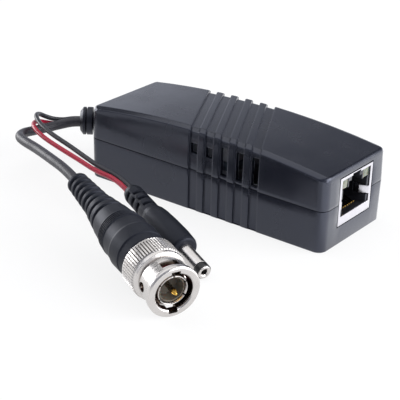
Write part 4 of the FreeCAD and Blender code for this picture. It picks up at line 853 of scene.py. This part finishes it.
# Strain relief: one turned form that follows the bend out of the case's cable end
relief = {
    "start": (-41.0, -0.9, 10.9), "bendRadius": 12.45, "bend": 37.0,
    # the two flanges that hold it in the case's wall start the profile
    "flanges": [(-5.35, 0), (-5.35, 4.1), (-3.75, 4.1), (-3.75, 3.0), (-1.55, 3.0), (-1.55, 4.1), (0, 4.1)],
    "neck": 2.7, "ribs": 3, "rib": 3.7, "ribWidth": 0.95, "lean": 0.1, "ring": 4.1, "ringWidth": 1.7,
    "ringGap": 0.3, "gapDepth": 0.5, "noseEnd": 2.9, "noseLength": 0.9, "edge": 0.18,
}


# distance along the relief's middle line to a place in the part's frame
def alongRelief(spot):
    along, side, rise = spot
    x, y, z = relief["start"]
    radius, bend = relief["bendRadius"], math.radians(relief["bend"])
    turn = min(max(along / radius, 0), bend)
    past = along - turn * radius
    heading = math.pi + turn
    centreX = x - radius * math.sin(turn) + past * math.cos(heading)
    centreY = y - radius * (1 - math.cos(turn)) + past * math.sin(heading)
    return centreX + side * math.sin(heading), centreY - side * math.cos(heading), z + rise


def makeRelief():
    r = relief
    neck, ring, lean, half = r["neck"], r["ring"], r["lean"], r["ribWidth"] / 2
    neckEnd = r["bendRadius"] * math.radians(r["bend"])
    points = r["flanges"] + [(0, neck + lean)]
    for index in range(r["ribs"]):
        middle = neckEnd * (index + 1) / (r["ribs"] + 1)
        points += [(middle - half - lean, neck), (middle - half, r["rib"]), (middle + half, r["rib"]),
                   (middle + half + lean, neck)]
    first, second = neckEnd + r["ringWidth"], neckEnd + r["ringWidth"] + r["ringGap"]
    end, gap = second + r["ringWidth"], ring - r["gapDepth"]
    points += [(neckEnd - lean, neck), (neckEnd, ring), (first, ring), (first, gap), (second, gap),
               (second, ring), (end - r["noseLength"], ring), (end, r["noseEnd"]), (end, 0)]
    mesh = turnedMesh(eased(points, r["edge"]), 96, bend=alongRelief)
    addPiece("strain_relief_moulding", mesh, "reliefPvc", ["cable_strain_relief"])


makeRelief()
print("strain relief moulded")


# BNC plug: distances run from the mouth to the tail
bnc = {
    "spot": (30.58, -65.11, 6.8), "yaw": 155.5, "tilt": -5.5,
    "ring": {"edge": 0.14, "segments": 480, "profile": [
        (0, 5.18), (0, 6.45), (0.35, 6.8), (1.5, 6.8), (1.8, 6.2), (6.1, 6.2), (6.3, 5.75), (6.9, 5.75),
        (7.2, 6.75), (8.2, 6.75), (8.5, 7.1), (13.6, 7.1), (13.9, 6.8), (13.9, 4.43), (13.2, 4.43),
        (13.2, 5.7), (7.7, 5.7), (7.7, 4.88), (0.3, 4.88)]},
    "teeth": 60, "toothTop": 7.1, "toothDepth": 0.3, "toothFlat": 0.5, "knurlFrom": 8.0, "knurlOver": 6.2,
    # the bayonet slots and the lugs' ways, as (from, to, half width, depth), and the slots' rests
    "bore": 3.0, "outside": 9.0, "cuts": [(2.5, 4.6, 2.3, 9.0), (-1.0, 3.0, 1.15, 5.68)],
    "restAt": 4.9, "restRadius": 1.25,
    "contact": {"edge": 0.1, "segments": 180, "profile": [
        (1.4, 3.38), (0.9, 3.66), (0.9, 3.82), (1.3, 4.05), (7.9, 4.05), (7.9, 4.35), (9.2, 4.35),
        (9.2, 5.35), (10.2, 5.35), (10.2, 4.35), (17.6, 4.35), (17.6, 2.2), (13.5, 2.2), (13.5, 3.38)]},
    "splitTurns": (0, 60, 120), "splitLow": (-1.0, -0.2, -6.0), "splitHigh": (5.5, 0.2, 6.0),
    "gasket": {"edge": 0.12, "segments": 128, "profile": [
        (4.3, 4.05), (4.3, 4.7), (7.5, 4.7), (7.5, 4.05)]},
    "insulator": {"edge": 0.1, "segments": 128, "profile": [
        (1.5, 3.05), (1.5, 3.38), (13.5, 3.38), (13.5, 0.68), (4.8, 0.68), (4.8, 3.05)]},
    "pin": {"edge": 0.18, "segments": 64, "profile": [
        (-0.8, 0), (-0.8, 0.25), (0.3, 0.68), (15.0, 0.68), (15.0, 0)]},
    "bootEdge": 0.3, "bootSegments": 192,
    "grip": [(17.6, 0), (17.6, 4.35), (14.2, 4.35), (14.2, 5.5), (15.1, 6.1), (17.4, 6.3), (17.7, 6.55),
             (21.8, 6.7), (22.6, 6.45), (26.4, 6.15), (26.8, 6.35)],
    "neck": [(29.6, 6.05), (30.0, 5.75), (34.6, 5.2), (35.0, 4.3), (35.6, 4.3), (35.9, 4.9), (37.6, 4.7),
             (37.9, 3.85), (38.6, 3.75), (38.9, 4.4), (40.7, 4.2)],
    # fine grooves between the grip and the neck, in a skin that falls slowly
    "grooves": 4, "grooveFirst": 26.95, "groovePitch": 0.68, "grooveWidth": 0.34, "grooveDepth": 0.34,
    "grooveLean": 0.03, "skinAt": 26.8, "skin": 6.35, "skinFall": 0.107, "skinStep": 0.026,
    # the relief's ribs: foot, face and crest are distances from a rib's front, and back from its end
    "tail": 56.0, "ribs": 6, "ribPitch": 2.52, "ribWidth": 1.6, "ribDepth": 0.75, "ribFirst": 3.75,
    "ribLast": 2.95, "ribFoot": -0.9, "ribFace": -0.1, "ribCrest": 0.2, "ribBack": 0.25,
}


def knurled(along, radius, angle):
    if along < bnc["knurlFrom"] or radius < bnc["knurlOver"]:
        return radius
    phase = abs(2 * (angle * bnc["teeth"] / (2 * math.pi) % 1) - 1)
    cut = max(0.0, (phase - bnc["toothFlat"]) / (1 - bnc["toothFlat"]))
    return min(radius, bnc["toothTop"] - bnc["toothDepth"] * cut)


def bncBoot():
    b = bnc
    points = list(b["grip"])
    for index in range(b["grooves"]):
        start = b["grooveFirst"] + index * b["groovePitch"]
        end, skin = start + b["grooveWidth"], b["skin"] - b["skinFall"] * (start - b["skinAt"])
        points += [(start, skin), (start + b["grooveLean"], skin - b["grooveDepth"]),
                   (end - b["grooveLean"], skin - b["grooveDepth"]), (end, skin - b["skinStep"])]
    points += b["neck"]
    for index in range(b["ribs"]):
        crest = b["ribFirst"] + index / (b["ribs"] - 1) * (b["ribLast"] - b["ribFirst"])
        front = b["tail"] - b["ribWidth"] - (b["ribs"] - 1 - index) * b["ribPitch"]
        root, back = crest - b["ribDepth"], front + b["ribWidth"] - b["ribBack"]
        points += [(front + b["ribFoot"], root), (front + b["ribFace"], root),
                   (front + b["ribCrest"], crest), (back, crest)]
    points += [(b["tail"], b["ribLast"] - b["ribDepth"]), (b["tail"], 0)]
    return turnedMesh(eased(points, b["bootEdge"], 4), b["bootSegments"])


def makeBnc():
    b, pose = bnc, plugPose(bnc)
    tools = []
    for side in (1, -1):
        for start, end, half, depth in b["cuts"]:
            low, high = sorted((side * b["bore"], side * depth))
            tools.append(blockMesh((start, -half, low), (end, half, high)))
        tools.append(rodMesh(b["bore"], b["outside"], b["restRadius"],
                             Matrix.Translation((b["restAt"] * mm, 0, 0))
                             @ Matrix.Rotation(math.radians(side * 90), 4, "Z"), 40))
    addPiece("bnc_knurled_ring", shaped(turnedRing(b["ring"], knurled), tools), "ringPlate",
             ["bnc_coupling_ring"], pose, "coupling_ring", sharp=40)
    splits = [blockMesh(b["splitLow"], b["splitHigh"], Matrix.Rotation(math.radians(angle), 4, "X"))
              for angle in b["splitTurns"]]
    addPiece("bnc_slotted_ferrule", shaped(turnedRing(b["contact"]), splits), "ferrulePaintedShade",
             ["bnc_outer_contact"], pose, sharp=40)
    addPiece("bnc_face_gasket", turnedRing(b["gasket"]), "gasketSilicone",
             ["bnc_gasket"], pose)
    addPiece("bnc_dielectric", turnedRing(b["insulator"]), "plugDielectric",
             ["bnc_insulator"], pose)
    pin = turnedMesh(eased(b["pin"]["profile"], b["pin"]["edge"], 4), b["pin"]["segments"])
    addPiece("bnc_pin", pin, "goldTip", ["bnc_center_pin"], pose)
    addPiece("bnc_moulded_boot", bncBoot(), "bootPvc", ["bnc_boot"], pose)


makeBnc()
print("BNC plug made")


# DC plug: distances run from the tip to the tail
dc = {
    "spot": (24.43, -45.38, 2.2), "yaw": 158.13, "tilt": -9.73,
    "sleeve": {"edge": 0.08, "segments": 96, "profile": [
        (1.9, 1.65), (1.9, 2.0), (9.75, 2.0), (9.75, 2.55), (14, 2.55), (14, 1.65)]},
    "tip": {"edge": 0.08, "segments": 96, "profile": [
        (0, 1.3), (0, 1.85), (0.15, 2.0), (1.9, 2.0), (1.9, 1.65), (14, 1.65), (14, 1.3)]},
    # the inner tube: its outside with eased edges, then its sharp bore
    "innerEdge": 0.05, "innerSegments": 96,
    "inner": [(-0.3, 1.15), (-0.3, 1.6), (-0.15, 1.75), (0, 1.75), (0, 1.3), (14, 1.3), (14, 0)],
    "innerBore": [(13, 0), (13, 0.85), (0, 0.85), (-0.3, 1.15)],
    "boot": [(14, 0), (14, 2.55), (9.75, 2.55), (9.75, 2.0), (9.6, 2.0), (9.6, 3.2), (9.85, 3.6),
             (10.5, 3.85), (14.1, 4.0), (19.5, 3.85), (23.5, 3.6), (25.6, 3.3), (27.2, 2.75),
             (36.9, 2.65), (38.44, 2.15), (38.44, 0)],
    "bootEdge": 0.3, "bootSegments": 128,
    # the relief's slots on its four sides, every second side half a pitch on
    "sides": 4, "slots": 3, "slotAt": 28.4, "slotPitch": 2.7, "slotWidth": 1.0, "slotFloor": 1.75,
    "slotAcross": 1.705, "slotTop": 4.0, "slotEdge": 0.08, "slotAngle": 55,
}


def makeDc():
    d, pose = dc, plugPose(dc)
    addPiece("dc_barrel", turnedRing(d["sleeve"]), "nickelPlate", ["dc_plug_sleeve"], pose)
    addPiece("dc_tip_ring", turnedRing(d["tip"]), "tipNylon", ["dc_plug_insulator"], pose)
    tube = turnedMesh(eased(d["inner"], d["innerEdge"]) + d["innerBore"], d["innerSegments"])
    addPiece("dc_inner_tube", tube, "nickelPlate", ["dc_plug_inner_contact"], pose)
    tools = []
    for turn in range(d["sides"]):
        for index in range(d["slots"]):
            start = d["slotAt"] + index * d["slotPitch"] + (turn % 2) * d["slotPitch"] / 2
            tools.append(blockMesh((start, -d["slotAcross"], d["slotFloor"]),
                                   (start + d["slotWidth"], d["slotAcross"], d["slotTop"]),
                                   Matrix.Rotation(math.radians(90 * turn), 4, "X")))
    boot = shaped(turnedMesh(eased(d["boot"], d["bootEdge"], 4), d["bootSegments"]), tools)
    addPiece("dc_moulded_boot", edgesRounded(boot, d["slotEdge"], d["slotAngle"]), "bootPvc",
             ["dc_plug_boot"], pose)


makeDc()
print("DC plug made")


# RJ45 socket and board: the CAD's own forms with their edges folded or moulded round
carried = {
    # node: piece, rounding of its edges in mm, finish, slot
    "rj45_shield": ("socket_folded_shield", 0.07, "tinPlate", "tinned_sheet"),
    "rj45_insert": ("socket_moulding", 0.08, "socketPbt", "socket_plastic"),
    "rj45_contacts": ("socket_springs", 0.04, "springPlate", "gold_contact"),
    "rj45_led_left": ("socket_lamp_left", 0.12, "lampPolycarbonate", "led_lens"),
    "rj45_led_right": ("socket_lamp_right", 0.12, "lampPolycarbonate", "led_lens"),
    "circuit_board": ("board_laminate", 0.08, "maskedLaminate", "board_laminate"),
    "transformer_core": ("board_transformer_core", 0.25, "sinteredFerrite", "ferrite"),
    "transformer_winding": ("board_transformer_coil", 0.25, "woundTape", "winding_tape"),
    "power_inductor": ("board_inductor", 0.3, "sinteredFerrite", "ferrite"),
    "regulator_chip": ("board_regulator", 0.04, "chipEpoxy", "chip_epoxy"),
}
for nodeName, (pieceName, width, finish, slotName) in carried.items():
    addPiece(pieceName, finerNode(nodeName, width), finish, [nodeName])
for nodeName, finish in (("capacitors", "canSleeve"), ("bnc_spring_washer", "springSteel"),
                         ("bnc_retaining_clip", "springSteel")):
    nodes[nodeName].data.materials.clear()
    nodes[nodeName].data.materials.append(finishes[finish])
print("socket and board dressed")


# Table and light
studio = {
    "reach": 3.0, "under": 0.02,        # half the table's side in metres, and its gap to the part in mm
    "floor": "FBFBFC", "floorRoughness": 0.6, "grain": 10 / 9, "grainRelief": 0.05, "grainDepth": 0.05,
    "floorGlow": 0.82, "tint": "EEF2FF",
    # in the gloss of the object the table glows brighter towards the right lamp, as a painted glow, from
    # one distance that way to another
    "sheenWay": (0.91, 0.41, 0.0), "sheenFrom": 20.0, "sheenTo": 46.0, "sheenMore": 1.2,
    # behind, the tent is white up to one height and dark above another, as sines of the elevation;
    # in front the room is dim
    "tentWhite": 0.14, "tentGrey": 0.55, "whiteLevel": 1.0, "greyLevel": 0.06,
    "front": (0.0, -1.0, 0.0), "frontFrom": -0.1, "frontTo": 0.3, "frontLevel": 0.4,
    "lamps": [
        # name, place, aimed at, size, watts
        ("topBox", (-240, 50, 700), (-60, 0, 10), (1150, 800), 3.4),
        ("rightBox", (640, 190, 300), (39, 0, 12), (900, 560), 8.5),
        ("leftBox", (-660, -40, 160), (-30, -30, 10), (460, 260), 2.5),
    ],
}


def makeTable():
    mesh = bpy.data.meshes.new("table")
    far = studio["reach"]
    mesh.from_pydata([(-far, -far, 0), (far, -far, 0), (far, far, 0), (-far, far, 0)], [], [(0, 1, 2, 3)])
    table = bpy.data.objects.new("table", mesh)
    table.location.z = -studio["under"] * mm
    scene.collection.objects.link(table)
    # white laminate table top: matt, with the softest grain; it glows to the eye as in a light tent
    material, tree, place = newMaterial("tableLaminate")
    grain = addNode(tree, "ShaderNodeTexNoise", {"Vector": place, "Scale": 1 / (studio["grain"] * mm)})
    bump = addNode(tree, "ShaderNodeBump", {
        "Height": grain.outputs[0], "Strength": studio["grainRelief"],
        "Distance": studio["grainDepth"] * mm})
    board = addNode(tree, "ShaderNodeBsdfPrincipled", {
        "Base Color": toLinear(studio["floor"]), "Roughness": studio["floorRoughness"],
        "Normal": bump.outputs[0]})
    ray = addNode(tree, "ShaderNodeLightPath")
    # painted glow: in glossy rays the table glows brighter towards the right lamp
    way = addNode(tree, "ShaderNodeVectorMath", {0: place, 1: studio["sheenWay"]}, operation="DOT_PRODUCT")
    nearer = addNode(tree, "ShaderNodeMapRange", {
        "Value": way.outputs["Value"], "From Min": studio["sheenFrom"] * mm,
        "From Max": studio["sheenTo"] * mm, "To Min": 0.0, "To Max": studio["sheenMore"]},
        interpolation_type="SMOOTHSTEP")
    level = addNode(tree, "ShaderNodeMath", {
        0: ray.outputs["Is Glossy Ray"], 1: nearer.outputs[0], 2: 1.0}, operation="MULTIPLY_ADD")
    glow = addNode(tree, "ShaderNodeEmission", {"Color": (1, 1, 1, 1), "Strength": level.outputs[0]})
    seen = addNode(tree, "ShaderNodeMath", {
        0: ray.outputs["Is Camera Ray"], 1: ray.outputs["Is Glossy Ray"]}, operation="MAXIMUM")
    seenAll = addNode(tree, "ShaderNodeMath", {
        0: seen.outputs[0], 1: ray.outputs["Is Transmission Ray"]}, operation="MAXIMUM")
    share = addNode(tree, "ShaderNodeMath", {
        0: seenAll.outputs[0], 1: studio["floorGlow"]}, operation="MULTIPLY")
    both = addNode(tree, "ShaderNodeMixShader", {
        0: share.outputs[0], 1: board.outputs[0], 2: glow.outputs[0]})
    addNode(tree, "ShaderNodeOutputMaterial", {"Surface": both.outputs[0]})
    mesh.materials.append(material)


def makeSky():
    world = bpy.data.worlds.new("lightTent")
    scene.world = world
    world.use_nodes = True
    tree = world.node_tree
    tree.nodes.clear()
    way = addNode(tree, "ShaderNodeTexCoord").outputs["Generated"]
    axes = addNode(tree, "ShaderNodeSeparateXYZ", {0: way})
    behind = addNode(tree, "ShaderNodeMapRange", {
        "Value": axes.outputs["Z"], "From Min": studio["tentWhite"], "From Max": studio["tentGrey"],
        "To Min": studio["whiteLevel"], "To Max": studio["greyLevel"]})
    ahead = addNode(tree, "ShaderNodeVectorMath", {0: way, 1: studio["front"]}, operation="DOT_PRODUCT")
    front = addNode(tree, "ShaderNodeMapRange", {
        "Value": ahead.outputs["Value"], "From Min": studio["frontFrom"], "From Max": studio["frontTo"],
        "To Min": 0.0, "To Max": 1.0}, interpolation_type="SMOOTHSTEP")
    both = addNode(tree, "ShaderNodeMix", {
        0: front.outputs[0], 2: behind.outputs[0], 3: studio["frontLevel"]}, data_type="FLOAT")
    tent = addNode(tree, "ShaderNodeBackground", {
        "Color": toLinear(studio["tint"]), "Strength": both.outputs[0]})
    addNode(tree, "ShaderNodeOutputWorld", {"Surface": tent.outputs[0]})


def makeLamps():
    for name, spot, aim, size, watts in studio["lamps"]:
        data = bpy.data.lights.new(name, "AREA")
        data.shape = "RECTANGLE"
        data.size, data.size_y = size[0] * mm, size[1] * mm
        data.energy = watts
        item = bpy.data.objects.new(name, data)
        here, there = Vector(spot) * mm, Vector(aim) * mm
        item.location = here
        item.rotation_euler = (there - here).to_track_quat("-Z", "Y").to_euler()
        scene.collection.objects.link(item)


makeTable()
makeSky()
makeLamps()
print("table and light set")
